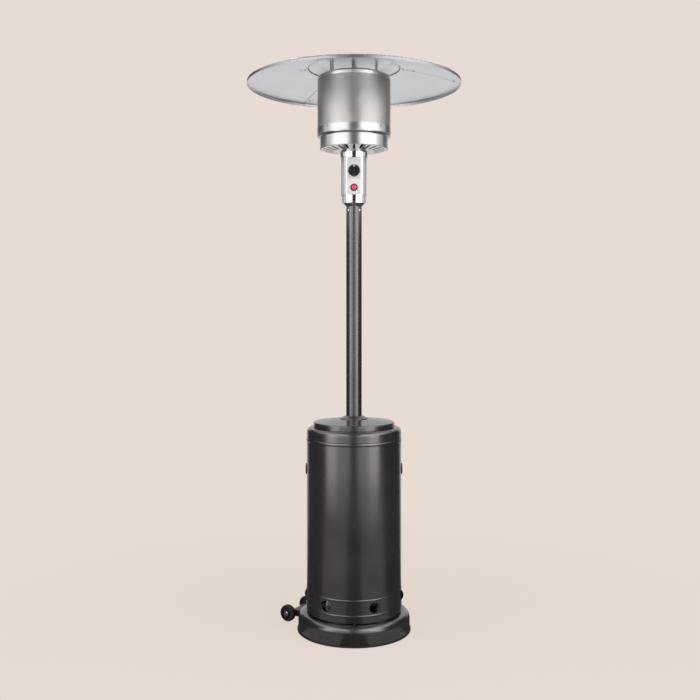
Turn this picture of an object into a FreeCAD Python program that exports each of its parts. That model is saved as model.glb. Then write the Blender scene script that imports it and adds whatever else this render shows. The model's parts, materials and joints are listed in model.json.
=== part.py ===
import FreeCAD, Part
import math
import os
import Sketcher

# Free-standing gas patio heater, in millimetres, with +Z up and its front towards -Y.
# The origin is on the floor, on the axis of the post.
# Angles are in degrees round +Z, counted from +X.

doc = FreeCAD.newDocument("PatioHeater")
sheet = doc.addObject("Spreadsheet::Sheet", "Sizes")
Vector = FreeCAD.Vector


class Size:
    """A length or an angle: its number, and the same in words for an expression of the document."""

    def __init__(self, number, text):
        self.number = number
        self.text = text

    def join(self, other, sign, number):
        return Size(number, f"({self.text} {sign} {other.text})")

    def __add__(self, other):
        other = as_size(other)
        return self.join(other, "+", self.number + other.number)

    def __radd__(self, other):
        return as_size(other) + self

    def __sub__(self, other):
        other = as_size(other)
        return self.join(other, "-", self.number - other.number)

    def __rsub__(self, other):
        return as_size(other) - self

    def __mul__(self, other):
        other = as_size(other)
        return self.join(other, "*", self.number * other.number)

    def __rmul__(self, other):
        return as_size(other) * self

    def __truediv__(self, other):
        other = as_size(other)
        return self.join(other, "/", self.number / other.number)

    def __neg__(self):
        return Size(-self.number, f"(0 - {self.text})")


def as_size(value):
    return value if isinstance(value, Size) else Size(float(value), repr(float(value)))


def size(name, number):
    """Write one driving dimension into the next row of the sheet."""
    size.row += 1
    sheet.set(f"A{size.row}", name)
    sheet.set(f"B{size.row}", str(number))
    sheet.setAlias(f"B{size.row}", name)
    return Size(float(number), f"Sizes.{name}")


size.row = 0


def follows(name, value):
    """Write a dimension that follows others into the next row of the sheet, as a formula."""
    size.row += 1
    sheet.set(f"A{size.row}", name)
    sheet.set(f"B{size.row}", "=" + value.text.replace("Sizes.", ""))
    sheet.setAlias(f"B{size.row}", name)
    return Size(value.number, f"Sizes.{name}")


def root(value):
    return Size(math.sqrt(value.number), f"sqrt({value.text})")


def arc_sine(value):
    return Size(math.degrees(math.asin(value.number)), f"(asin({value.text}) / 1 deg)")


def leg(long_side, short_side):
    """The other short side of a right-angled triangle."""
    return root(long_side * long_side - short_side * short_side)


# General fits and sheet metal
CLEARANCE = size("clearance", 0.2)
RUNNING_GAP = size("running_gap", 0.06)
BODY_GAP = size("body_gap", 0.4)
SEAT_GAP = size("seat_gap", 0.02)
JOINT_GAP = size("joint_gap", 0.1)
SIDE_PLAY = size("side_play", 0.5)
END_CHAMFER = size("end_chamfer", 0.5)
STEEL = size("steel_sheet", 1.5)
SKIN = size("skin_sheet", 1.2)
STAINLESS = size("stainless_sheet", 1.0)
PLATE = size("plate_thickness", 4.0)

# Main sizes, which most others follow
HOUSING_RADIUS = size("housing_radius", 180.0)
HOUSING_TOP = size("housing_top", 712.5)
BASE_TOP = size("base_top", 72.0)
POST_RADIUS = size("post_radius", 30.0)
POST_TOP = size("post_top", 1604.6)
COVER_RADIUS = size("cover_radius", 49.6)
SCREEN_RADIUS = size("screen_radius", 139.2)
REFLECTOR_RADIUS = size("reflector_radius", 406.5)

# Base
BASE_MARGIN = size("base_margin", 32.0)
BASE_RADIUS = follows("base_radius", HOUSING_RADIUS + BASE_MARGIN)
BASE_SHOULDER = size("base_shoulder", 26.0)
BASE_LEDGE_SET_IN = size("base_ledge_set_in", 10.0)
BASE_LEDGE = follows("base_ledge_radius", HOUSING_RADIUS - BASE_LEDGE_SET_IN)
BASE_STEP = size("base_step", 8.0)
BASE_FLOOR = follows("base_floor", BASE_TOP - BASE_STEP)
TRIM_REACH = size("trim_reach", 4.0)
TRIM_OUTER = follows("trim_outer_radius", BASE_RADIUS + TRIM_REACH)
TRIM_WIDTH = size("trim_width", 9.5)
TRIM_RISE = size("trim_rise", 5.0)
TRIM_SLOT = size("trim_slot_depth", 3.0)
TRIM_CHAMFER = size("trim_chamfer", 1.0)
PAN_RISE = size("pan_rise", 5.2)
PAN_GAP = size("pan_gap", 0.3)
PAN_TAB_TOP = size("pan_tab_top", 40.0)
PAN_TAB_TURN = size("pan_tab_turn", 14.0)
WALL_SCREW_HEIGHT = size("wall_screw_height", 27.0)
WALL_SCREW_SPREAD = size("wall_screw_spread", 25.0)
WALL_SCREW_RADIUS = size("wall_screw_radius", 2.0)
WALL_SCREW_REACH = size("wall_screw_reach", 8.0)
WALL_SCREW_HEAD = size("wall_screw_head_radius", 2.9)
WALL_SCREW_RISE = size("wall_screw_rise", 2.0)
WALL_SCREW_TURN = size("wall_screw_turn", 239.3)
REST_PAD_RADIUS = size("rest_pad_radius", 5.0)
REST_PAD_SET_IN = size("rest_pad_set_in", 3.5)
REST_PAD_CIRCLE = follows("rest_pad_circle", HOUSING_RADIUS - REST_PAD_SET_IN)
REST_PAD_RISE = size("rest_pad_rise", 3.6)
REST_PAD_CHAMFER = size("rest_pad_chamfer", 1.0)
REST_PAD_TURN = size("rest_pad_turn", 30.0)

# Wheels
WHEEL_TURN = size("wheel_turn", 149.3)
WHEEL_RADIUS = size("wheel_radius", 31.5)
WHEEL_LIFT = size("wheel_lift", 2.0)
AXLE_REACH = size("axle_reach", 47.0)
AXLE_CIRCLE = follows("axle_circle", BASE_RADIUS + AXLE_REACH)
AXLE_HEIGHT = follows("axle_height", WHEEL_RADIUS + WHEEL_LIFT)
AXLE_RADIUS = size("axle_radius", 5.0)
WHEEL_WIDTH = size("wheel_width", 20.0)
WHEEL_HUB = size("wheel_hub_radius", 11.0)
WHEEL_TYRE = size("wheel_tyre_depth", 7.5)
WHEEL_EDGE = size("wheel_edge_radius", 5.0)
WHEEL_DISH = size("wheel_dish_depth", 6.0)
CHEEK_HALF = size("cheek_half_spread", 52.0)
CHEEK_SHEET = size("cheek_sheet", 3.0)
CHEEK_SET_IN = size("cheek_set_in", 1.0)
BRACKET_HALF = size("bracket_half_height", 12.5)
BRACKET_LOW = follows("bracket_low", AXLE_HEIGHT - BRACKET_HALF)
BRACKET_TOP = follows("bracket_top", AXLE_HEIGHT + BRACKET_HALF)
SHELF_SET_BACK = size("shelf_set_back", 13.0)
BRACKET_SHELF = follows("bracket_shelf_reach", AXLE_CIRCLE - SHELF_SET_BACK)
BRACKET_SHEET = size("bracket_sheet", 2.5)
SPACER_RADIUS = size("spacer_radius", 8.0)
SPACER_LENGTH = size("spacer_length", 4.0)
AXLE_END = size("axle_end", 3.5)
AXLE_HALF = follows("axle_half_length", CHEEK_HALF + SPACER_LENGTH + SIDE_PLAY + WHEEL_WIDTH + AXLE_END)
CAP_RADIUS = size("axle_cap_radius", 9.0)
CAP_DOME = size("axle_cap_dome", 2.5)

# Legs and post
LEG_SET_IN = size("leg_set_in", 19.0)
LEG_FACE = follows("leg_inner_face", HOUSING_RADIUS - LEG_SET_IN)
LEG_WIDTH = size("leg_width", 30.0)
LEG_FOOT_REACH = size("leg_foot_reach", 37.0)
LEG_FOOT = follows("leg_foot_inner", LEG_FACE - LEG_FOOT_REACH)
LEG_FOOT_BEND = size("leg_foot_bend", 8.0)
LEG_TOP_BEND = size("leg_top_bend", 26.0)
LEG_DROP = size("leg_drop", 14.5)
LEG_TOP = follows("leg_top", HOUSING_TOP - LEG_DROP)
LEG_TAB = size("leg_tab_inner", 62.0)
LEG_TURN = size("leg_turn", 90.0)
FOOT_BOLT_REACH = size("foot_bolt_reach", 23.0)
FOOT_BOLT_CIRCLE = follows("foot_bolt_circle", LEG_FACE - FOOT_BOLT_REACH)
TOP_BOLT_CIRCLE = size("top_bolt_circle", 76.0)
BOLT_RADIUS = size("bolt_radius", 4.0)
BOLT_HEAD = size("bolt_head_radius", 6.5)
BOLT_HEAD_RISE = size("bolt_head_rise", 5.3)
BOLT_NUT_RISE = size("bolt_nut_rise", 6.5)
MOUNT_RADIUS = size("mount_plate_radius", 92.0)
POST_FLANGE = size("post_flange_radius", 56.0)
POST_FLANGE_SHEET = size("post_flange_sheet", 5.0)
FLANGE_BOLT_CIRCLE = size("flange_bolt_circle", 43.0)
FLANGE_BOLTS = size("flange_bolt_count", 4)
QUARTER_TURN = size("quarter_turn", 45.0)
GAS_TUBE_RADIUS = size("gas_tube_radius", 4.0)
GAS_TUBE_WALL = size("gas_tube_wall", 1.0)
INLET_RADIUS = size("inlet_thread_radius", 7.9)
INLET_LENGTH = size("inlet_thread_length", 14.0)
INLET_NUT_RADIUS = size("inlet_nut_radius", 10.5)
INLET_NUT_RISE = size("inlet_nut_rise", 11.0)
INLET_NECK = size("inlet_neck_rise", 10.0)

# Housing round the gas bottle
HOUSING_LOW = follows("housing_low", BASE_TOP + REST_PAD_RISE + BODY_GAP)
HOUSING_HEM = size("housing_hem", 8.0)
LOW_BEAD_RISE = size("low_bead_rise", 25.0)
LOW_BEAD = follows("low_bead_height", HOUSING_LOW + LOW_BEAD_RISE)
BEAD_SPREAD = size("bead_spread", 56.0)
HIGH_BEAD = follows("high_bead_height", LOW_BEAD + BEAD_SPREAD)
BEAD_HALF = size("bead_half_height", 4.0)
BEAD_RADIUS = size("bead_radius", 5.0)
VENT_STEP = size("vent_step", 29.0)
VENT_HEIGHT = follows("vent_height", LOW_BEAD + VENT_STEP)
VENT_RADIUS = size("vent_radius", 21.0)
VENT_RISE = size("vent_rise", 9.6)
VENT_MOUTH = size("vent_mouth_offset", 7.4)
VENT_TURN = size("vent_turn", 294.3)
VENT_COUNT = size("vent_count", 6)
RING_JOINT = size("ring_joint", 3.0)
RING_LOW = follows("ring_low", HOUSING_TOP + RING_JOINT)
RING_HEIGHT = size("ring_height", 53.5)
RING_TOP = follows("ring_top", RING_LOW + RING_HEIGHT)
RING_SHOULDER = size("ring_shoulder", 18.0)
RING_REACH = size("ring_reach", 30.0)
RING_OPENING = follows("ring_opening", HOUSING_RADIUS - RING_REACH)
RING_SLEEVE = size("ring_sleeve_length", 24.0)
RING_EDGE = size("ring_edge_height", 0.5)
RING_BEAD_HALF = size("ring_bead_half_height", 5.5)
RING_BEAD_RADIUS = size("ring_bead_radius", 8.5)
RING_GROOVE = size("ring_groove_depth", 1.0)
RING_LIP = size("ring_lip_depth", 7.0)
LID_OVERLAP = size("lid_overlap", 4.5)
LID_RADIUS = follows("lid_radius", RING_OPENING + LID_OVERLAP)
LID_HEIGHT = size("lid_height", 20.0)
LID_EDGE = follows("lid_edge_height", RING_TOP + LID_HEIGHT)
LID_CROWN = size("lid_crown", 11.0)
LID_CENTRE = follows("lid_centre_height", LID_EDGE + LID_CROWN)
LID_ROUND = size("lid_round", 5.0)
LID_FLAT = size("lid_flat_radius", 57.0)
LID_HOLE_GAP = size("lid_hole_gap", 2.0)
COLLAR_FOOT = size("collar_foot_radius", 53.0)
COLLAR_RISE = size("collar_rise", 11.5)
COLLAR_LIP = size("collar_lip", 2.0)
GRIP_DROP = size("grip_drop", 103.5)
GRIP_HEIGHT = follows("grip_height", HOUSING_TOP - GRIP_DROP)
GRIP_RADIUS = size("grip_radius", 21.0)
GRIP_RISE = size("grip_rise", 4.0)
GRIP_HOLE = size("grip_hole_radius", 14.0)
GRIP_SLEEVE = size("grip_sleeve_radius", 17.5)
GRIP_DEPTH = size("grip_depth", 8.0)
GRIP_ROUND = size("grip_round", 3.0)
GRIP_GAP = size("grip_gap", 0.3)

# Control head
SPIGOT_RADIUS = follows("spigot_radius", POST_RADIUS - STEEL - CLEARANCE)
SPIGOT_LENGTH = size("spigot_length", 30.0)
CONE_LOW = follows("cone_low", POST_TOP + BODY_GAP)
CONE_RISE = size("cone_rise", 16.0)
CONE_TOP = follows("cone_top", CONE_LOW + CONE_RISE)
CONE_SET_IN = size("cone_set_in", 0.3)
SHELL_SET_IN = size("lower_shell_set_in", 2.8)
SHELL_RADIUS = follows("lower_shell_radius", COVER_RADIUS - SHELL_SET_IN)
CONE_RADIUS = follows("cone_radius", SHELL_RADIUS - CONE_SET_IN)
CONE_OPENING = size("cone_opening", 36.0)
CONE_WALL = size("cone_wall", 1.8)
CONE_SEAT = size("cone_seat_width", 1.0)
TOP_SCREW_DROP = size("top_screw_drop", 12.6)
TOP_SCREW_HEIGHT = follows("top_screw_height", POST_TOP - TOP_SCREW_DROP)
TOP_SCREW_HEAD = size("top_screw_head_radius", 5.0)
TOP_SCREW_RADIUS = size("top_screw_radius", 2.5)
TOP_SCREW_RISE = size("top_screw_rise", 3.0)
TOP_SCREW_END = size("top_screw_end", 3.0)
TOP_SCREWS = size("top_screw_count", 4)
SHELL_OPENING = size("lower_shell_opening", 12.0)
SHELL_OVERLAP = size("lower_shell_overlap", 12.0)
SHELL_RISE = size("lower_shell_rise", 27.0)
COVER_LOW = follows("cover_low", CONE_TOP + SHELL_RISE)
COVER_HEIGHT = size("cover_height", 147.0)
COVER_TOP = follows("cover_top", COVER_LOW + COVER_HEIGHT)
COVER_LIP = size("cover_lip", 9.0)
PANEL_WIDTH = size("panel_width", 51.0)
PANEL_DROP = size("panel_drop", 5.0)
PANEL_TOP = follows("panel_top", COVER_TOP - PANEL_DROP)
PANEL_SET_IN = size("panel_set_in", 5.8)
PANEL_FACE = follows("panel_face", COVER_RADIUS - PANEL_SET_IN)
PANEL_RETURN = size("panel_return", 8.0)
PANEL_GAP = size("panel_gap", 0.3)
NECK_STEP = size("neck_step", 2.4)
NECK_RADIUS = follows("neck_radius", COVER_RADIUS + NECK_STEP)
NECK_RISE = size("neck_rise", 17.0)
NECK_TOP = follows("neck_top", COVER_TOP + NECK_RISE)
NECK_OPENING = size("neck_opening", 41.0)

# Knob, valve and igniter
KNOB_DROP = size("knob_drop", 56.0)
KNOB_HEIGHT = follows("knob_height", COVER_TOP - KNOB_DROP)
KNOB_RADIUS = size("knob_radius", 22.0)
KNOB_DISC = size("knob_disc_thickness", 8.0)
KNOB_GAP = size("knob_gap", 3.6)
KNOB_ROUND = size("knob_round", 2.0)
KNOB_CHAMFER = size("knob_back_chamfer", 1.0)
KNOB_DRAFT = size("knob_grip_draft", 4.0)
KNOB_GRIP_WIDTH = size("knob_grip_width", 9.0)
KNOB_GRIP_LENGTH = size("knob_grip_length", 39.0)
KNOB_GRIP_RISE = size("knob_grip_rise", 12.0)
STEM_RADIUS = size("stem_radius", 4.0)
STEM_LENGTH = size("stem_length", 35.0)
STEM_FIT = size("stem_fit", 0.05)
STEM_IN_KNOB = size("stem_in_knob", 7.0)
STEM_BORE_END = size("stem_bore_end", 13.0)
STEM_HOLE_GAP = size("stem_hole_gap", 1.0)
STEM_COLLAR_RADIUS = size("stem_collar_radius", 9.0)
STEM_COLLAR_SHEET = size("stem_collar_thickness", 2.4)
VALVE_WIDTH = size("valve_width", 34.0)
VALVE_FRONT = size("valve_front", 33.0)
VALVE_BACK = size("valve_back", 12.0)
VALVE_HALF = size("valve_half_height", 17.0)
VALVE_LOW = follows("valve_low", KNOB_HEIGHT - VALVE_HALF)
VALVE_TOP = follows("valve_top", KNOB_HEIGHT + VALVE_HALF)
VALVE_BOSS_RADIUS = size("valve_boss_radius", 8.0)
VALVE_BOSS_RISE = size("valve_boss_rise", 10.0)
VALVE_NOSE_RADIUS = size("valve_nose_radius", 10.0)
VALVE_NOSE_RISE = size("valve_nose_rise", 3.0)
JET_DROP = size("jet_drop", 4.0)
JET_TOP = follows("jet_top", NECK_TOP - JET_DROP)
JET_RADIUS = size("jet_radius", 6.5)
JET_TIP_RADIUS = size("jet_tip_radius", 3.5)
JET_TIP_RISE = size("jet_tip_rise", 9.0)
JET_TAPER = size("jet_taper_rise", 3.0)
BRACKET_WIDTH = size("valve_bracket_width", 40.0)
BRACKET_DROP = size("valve_bracket_drop", 15.0)
BRACKET_HIGH = follows("valve_bracket_top", COVER_TOP - BRACKET_DROP)
BRACKET_FOOT = size("valve_bracket_foot", 20.0)
VALVE_BRACKET_SHEET = size("valve_bracket_sheet", 2.0)
SWITCH_WIDTH = size("tilt_switch_width", 22.0)
SWITCH_DEPTH = size("tilt_switch_depth", 15.0)
SWITCH_DROP = size("tilt_switch_drop", 32.0)
SWITCH_LOW = follows("tilt_switch_low", VALVE_LOW - SWITCH_DROP)
SWITCH_RISE = size("tilt_switch_rise", 32.0)
IGNITER_DROP = size("igniter_drop", 63.0)
IGNITER_HEIGHT = follows("igniter_height", KNOB_HEIGHT - IGNITER_DROP)
BEZEL_RADIUS = size("bezel_radius", 13.75)
BEZEL_RISE = size("bezel_rise", 4.0)
BEZEL_CHAMFER = size("bezel_chamfer", 1.5)
BEZEL_NECK = size("bezel_neck_radius", 11.2)
BEZEL_NECK_LENGTH = size("bezel_neck_length", 6.0)
BUTTON_RADIUS = size("button_radius", 9.5)
BUTTON_RISE = size("button_rise", 9.0)
BUTTON_DEPTH = size("button_depth", 8.5)
BUTTON_GAP = size("button_gap", 0.3)
BUTTON_CROWN = size("button_crown_rise", 2.0)
IGNITER_RADIUS = size("igniter_body_radius", 12.0)
IGNITER_END = size("igniter_body_end", 36.0)
IGNITER_CUP = size("igniter_cup_depth", 14.5)

# Burner
BAND_RADIUS = follows("band_radius", SCREEN_RADIUS + BODY_GAP + STAINLESS)
BAND_ROLL = size("band_roll", 9.6)
DRUM_SET_IN = size("drum_set_in", 1.5)
DRUM_RADIUS = follows("drum_radius", BAND_RADIUS - BAND_ROLL - DRUM_SET_IN)
DISH_SET_IN = size("dish_set_in", 3.5)
DISH_RIM = follows("dish_rim_radius", DRUM_RADIUS - DISH_SET_IN)
DISH_RISE = size("dish_rise", 15.0)
DISH_RIM_HEIGHT = follows("dish_rim_height", NECK_TOP + DISH_RISE)
DISH_EDGE = size("dish_edge_width", 6.0)
DISH_INSET = size("dish_wall_inset", 0.4)
DISH_FLAT = size("dish_flat_radius", 52.0)
DISH_OPENING = size("dish_opening", 19.0)
SLOT_SET_IN = size("slot_set_in", 10.0)
SLOT_LENGTH = size("slot_length", 30.0)
SLOT_OUTER = follows("slot_outer_radius", DISH_RIM - SLOT_SET_IN)
SLOT_INNER = follows("slot_inner_radius", SLOT_OUTER - SLOT_LENGTH)
SLOT_WIDTH = size("slot_width", 5.0)
SLOT_COUNT = size("slot_count", 24)
DRUM_HEIGHT = size("drum_height", 42.0)
DRUM_TOP = follows("drum_top", DISH_RIM_HEIGHT + DRUM_HEIGHT)
DRUM_LIP = size("drum_lip", 9.0)
BAND_HEIGHT = size("band_height", 36.0)
BAND_TOP = follows("band_top", DRUM_TOP + BAND_HEIGHT)
BURNER_SET_IN = size("burner_head_set_in", 37.2)
BURNER_RADIUS = follows("burner_head_radius", SCREEN_RADIUS - BURNER_SET_IN)
BAND_SEAT = size("band_seat_width", 6.0)
BAND_OPENING = follows("band_opening", BURNER_RADIUS - BAND_SEAT)
BAND_SCREW_DROP = size("band_screw_drop", 7.0)
BAND_SCREW_HEIGHT = follows("band_screw_height", BAND_TOP - BAND_SCREW_DROP)
BAND_SCREW_HEAD = size("band_screw_head_radius", 4.0)
BAND_SCREW_RISE = size("band_screw_rise", 2.0)
BAND_SCREW_ROUND = size("band_screw_round", 0.8)
BAND_SCREW_END = size("band_screw_end", 6.0)
BAND_SCREWS = size("band_screw_count", 4)
SCREEN_SHEET = size("screen_sheet", 0.8)
SCREEN_SET_UP = size("screen_set_up", 8.5)
SCREEN_LOW = follows("screen_low", DRUM_TOP + SCREEN_SET_UP)
SCREEN_HEIGHT = size("screen_height", 181.0)
CROWN_RADIUS = follows("crown_radius", SCREEN_RADIUS + CLEARANCE + STAINLESS)
CROWN_LOW = follows("crown_low", BAND_TOP + SCREEN_HEIGHT)
CROWN_WALL = size("crown_wall_height", 15.0)
CROWN_RIM = follows("crown_rim_height", CROWN_LOW + CROWN_WALL)
CROWN_ROUND = size("crown_round", 5.0)
CROWN_FLAT = size("crown_flat_width", 30.2)
CROWN_STEP = follows("crown_step_radius", SCREEN_RADIUS - CROWN_FLAT)
CROWN_RUN = size("crown_step_run", 3.3)
CROWN_RISE = size("crown_rise", 11.0)
CROWN_TOP = follows("crown_top", CROWN_RIM + CROWN_RISE)
BURNER_RISE = size("burner_head_rise", 20.0)
BURNER_CHAMFER = size("burner_head_chamfer", 3.0)
VENTURI_RADIUS = size("venturi_radius", 14.0)
VENTURI_WALL = size("venturi_wall", 1.5)
VENTURI_DROP = size("venturi_drop", 6.0)
VENTURI_LOW = follows("venturi_low", NECK_TOP - VENTURI_DROP)
VENTURI_FLARE = size("venturi_flare_radius", 18.0)
VENTURI_FLARE_RISE = size("venturi_flare_rise", 12.0)
VENTURI_REACH = size("venturi_reach", 8.0)
PILOT_REACH = size("pilot_reach", 14.0)
PILOT_CIRCLE = follows("pilot_circle", BURNER_RADIUS + PILOT_REACH)
PILOT_TURN = size("pilot_turn", 300.0)
PILOT_STEP = size("pilot_step", 10.0)
PILOT_RADIUS = size("pilot_radius", 4.0)
PILOT_RISE = size("pilot_rise", 40.0)
PILOT_HOOD = size("pilot_hood_radius", 6.0)
PILOT_HOOD_RISE = size("pilot_hood_rise", 8.0)
PROBE_RADIUS = size("probe_radius", 2.5)
PROBE_RISE = size("probe_rise", 54.0)
ELECTRODE_RADIUS = size("electrode_radius", 3.5)
ELECTRODE_RISE = size("electrode_rise", 34.0)
SPARK_RADIUS = size("spark_radius", 1.0)
SPARK_RISE = size("spark_rise", 18.0)

# Reflector
REFLECTOR_SPHERE = size("reflector_sphere", 1250.0)
REFLECTOR_RISE = size("reflector_rise", 35.0)
REFLECTOR_LIP = size("reflector_lip_depth", 13.0)
REFLECTOR_BEND = size("reflector_lip_bend", 4.0)
REFLECTOR_HEM = size("reflector_hem_height", 3.5)
HAT_FLANGE = size("hat_flange_radius", 200.0)
HAT_LAP = size("hat_lap", 23.0)
REFLECTOR_INNER = follows("reflector_inner_radius", HAT_FLANGE - HAT_LAP)
REFLECTOR_TURN = size("reflector_turn", 359.0)
PANEL_START = size("panel_start", 2.0)
PANEL_SEAM = size("panel_seam_turn", 0.2)
LAP_CLEAR = size("lap_clear", 3.0)
LAP_INNER = follows("lap_inner_radius", HAT_FLANGE + LAP_CLEAR)
LAP_MARGIN = size("lap_margin", 8.0)
LAP_TURN = size("lap_turn", 4.3)
LAP_STEP = size("lap_step_turn", 0.7)
SEAM_SCREW_MARGIN = size("seam_screw_margin", 26.5)
SEAM_SCREW_SET_OUT = size("seam_screw_set_out", 25.0)
SEAM_SCREW_INNER = follows("seam_screw_inner", LAP_INNER + SEAM_SCREW_SET_OUT)
HAT_SCREW_MARGIN = size("hat_screw_margin", 13.0)
HAT_SCREW_CIRCLE = follows("hat_screw_circle", HAT_FLANGE - HAT_SCREW_MARGIN)
SHEET_SCREW_RADIUS = size("sheet_screw_radius", 2.2)
SHEET_SCREW_HEAD = size("sheet_screw_head_radius", 4.4)
SHEET_SCREW_RISE = size("sheet_screw_rise", 2.6)
SHEET_NUT_RISE = size("sheet_nut_rise", 4.0)
HAT_FOOT_SET_IN = size("hat_foot_set_in", 1.5)
HAT_FOOT = follows("hat_foot_radius", REFLECTOR_INNER - HAT_FOOT_SET_IN)
HAT_SLOPE = size("hat_slope_width", 37.5)
HAT_CEILING = follows("hat_ceiling_radius", HAT_FOOT - HAT_SLOPE)
HAT_RISE = size("hat_rise", 10.0)
HAT_INSET = size("hat_wall_inset", 0.4)
POSTS_MARGIN = size("posts_margin", 11.0)
POSTS_CIRCLE = follows("posts_circle", CROWN_STEP - POSTS_MARGIN)
POSTS_RADIUS = size("posts_radius", 4.5)
POSTS_TURN = size("posts_turn", 267.6)
POSTS_COUNT = size("posts_count", 6)
POSTS_STUD = size("posts_stud_radius", 3.0)
ACORN_RADIUS = size("acorn_radius", 6.0)
ACORN_RISE = size("acorn_rise", 8.0)
TOPCAP_RADIUS = size("top_cap_radius", 74.0)
TOPCAP_FLANGE_WIDTH = size("top_cap_flange_width", 10.0)
TOPCAP_FLANGE = follows("top_cap_flange_radius", TOPCAP_RADIUS + TOPCAP_FLANGE_WIDTH)
TOPCAP_WALL = size("top_cap_wall", 6.0)
TOPCAP_ROUND = size("top_cap_round", 6.0)
TOPCAP_RISE = size("top_cap_rise", 19.0)

doc.recompute()
pieces = []
HALF_TURN = "half turn"

# The legs, the rest pads and the reflector's panels each divide the round by this count
THIRDS = 3

# How far a cutting shape passes the faces that it cuts
PAST = 3


def keep(piece, label):
    """Name a finished piece and put it on the list of pieces to write."""
    piece.Label = label
    pieces.append(piece)
    return piece


def placed(x, y, z, turn=None, axis="0; 0; 1"):
    """A placement in words: a position, and a turn round an axis."""
    spin = as_size(turn if turn is not None else 0)
    x, y, z = as_size(x), as_size(y), as_size(z)
    return f"placement(vector({x.text}; {y.text}; {z.text}); rotation(vector({axis}); {spin.text}))"


def new_body(label, turn=None):
    """A body for one piece, turned round the post's axis where a turn is given."""
    body = doc.addObject("PartDesign::Body", "Body_" + label)
    if turn is not None:
        body.setExpression("Placement", placed(0, 0, 0, turn))
    return keep(body, label)


def new_sketch(body, role, offset=None):
    """An empty sketch on one of the body's own planes. On XZ_Plane its x is radial and its y is up."""
    sketch = body.newObject("Sketcher::SketchObject", "Sketch_" + body.Label)
    support = next(item for item in body.Origin.OriginFeatures if item.Role == role)
    sketch.AttachmentSupport = (support, [""])
    sketch.MapMode = "FlatFace"
    if offset is not None:
        sketch.setExpression("AttachmentOffset", offset)
    return sketch


def profile_sketch(body, turn=None):
    """A sketch on the plane through the post's axis, turned to the given angle."""
    offset = None
    if turn is not None:
        offset = placed(0, 0, 0, turn, "0; 1; 0")
    return new_sketch(body, "XZ_Plane", offset)


def level_sketch(body, level):
    """A level sketch at the given height."""
    return new_sketch(body, "XY_Plane", placed(0, 0, level))


def tie(sketch, constraint, value):
    """Add a constraint and bind it to the sheet."""
    value = as_size(value)
    index = sketch.addConstraint(constraint(value.number))
    if "Sizes" in value.text:
        sketch.setExpression(f"Constraints[{index}]", value.text)


def pin_point(sketch, edge, end, x, y):
    """Fix one point of an edge by its two coordinates."""
    tie(sketch, lambda number: Sketcher.Constraint("DistanceX", -1, 1, edge, end, number), x)
    tie(sketch, lambda number: Sketcher.Constraint("DistanceY", -1, 1, edge, end, number), y)


def arc_edge(start, finish, radius, side):
    """An arc between two points, with its centre on the left (1) or the right (-1) of the way."""
    chord = finish - start
    half = chord.Length / 2
    left = Vector(-chord.y, chord.x, 0).normalize()
    centre = start + chord * 0.5 + left * side * math.sqrt(max(radius ** 2 - half ** 2, 0))
    begin, end = (start, finish) if side > 0 else (finish, start)
    angles = [math.atan2(point.y - centre.y, point.x - centre.x) for point in (begin, end)]
    return Part.ArcOfCircle(Part.Circle(centre, Vector(0, 0, 1), radius), angles[0], angles[1])


def outline(sketch, corners):
    """Draw a closed loop. A corner is (x, y), or (x, y, radius, side) where an arc leaves it.

    An arc of half a turn has HALF_TURN for its radius.
    """
    base = sketch.GeometryCount
    points = [Vector(as_size(corner[0]).number, as_size(corner[1]).number, 0) for corner in corners]
    edges = []
    starts = []
    for index, corner in enumerate(corners):
        start = points[index]
        finish = points[(index + 1) % len(points)]
        if len(corner) == 2:
            edges.append(Part.LineSegment(start, finish))
            starts.append(1)
        else:
            half = (finish - start).Length / 2
            radius = half if corner[2] is HALF_TURN else as_size(corner[2]).number
            edges.append(arc_edge(start, finish, radius, corner[3]))
            starts.append(1 if corner[3] > 0 else 2)
    sketch.addGeometry(edges, False)
    joints = []
    for index in range(len(corners)):
        following = (index + 1) % len(corners)
        joints.append(Sketcher.Constraint("Coincident", base + index, 3 - starts[index],
                                          base + following, starts[following]))
    sketch.addConstraint(joints)
    for index, corner in enumerate(corners):
        pin_point(sketch, base + index, starts[index], corner[0], corner[1])
        if len(corner) == 4 and corner[2] is HALF_TURN:
            upright = abs(points[index].x - points[(index + 1) % len(points)].x) < 0.001
            way = "DistanceX" if upright else "DistanceY"
            tie(sketch, lambda number: Sketcher.Constraint(way, -1, 1, base + index, 3, number),
                corner[0] if upright else corner[1])
        elif len(corner) == 4:
            tie(sketch, lambda number: Sketcher.Constraint("Radius", base + index, number), corner[2])


def rectangle(sketch, left, low, right, high):
    outline(sketch, [(left, low), (right, low), (right, high), (left, high)])


def circle(sketch, x, y, radius):
    """Draw a full circle."""
    base = sketch.GeometryCount
    x, y, radius = as_size(x), as_size(y), as_size(radius)
    sketch.addGeometry([Part.Circle(Vector(x.number, y.number, 0), Vector(0, 0, 1), radius.number)], False)
    pin_point(sketch, base, 3, x, y)
    tie(sketch, lambda number: Sketcher.Constraint("Radius", base, number), radius)


def guide_line(sketch, start, finish):
    """Draw a construction line, the first of the sketch, for turning a profile round."""
    points = [Vector(as_size(point[0]).number, as_size(point[1]).number, 0) for point in (start, finish)]
    sketch.addGeometry([Part.LineSegment(points[0], points[1])], True)
    pin_point(sketch, 0, 1, start[0], start[1])
    pin_point(sketch, 0, 2, finish[0], finish[1])


def revolved(body, sketch, axis="V_Axis", turn=360, kind="Revolution"):
    """Turn a sketch round its own axis: a Revolution adds metal and a Groove cuts it."""
    feature = body.newObject("PartDesign::" + kind, kind + "_" + body.Label)
    feature.Profile = sketch
    feature.ReferenceAxis = (sketch, [axis])
    turn = as_size(turn)
    feature.Angle = turn.number
    if "Sizes" in turn.text:
        feature.setExpression("Angle", turn.text)
    return feature


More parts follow.
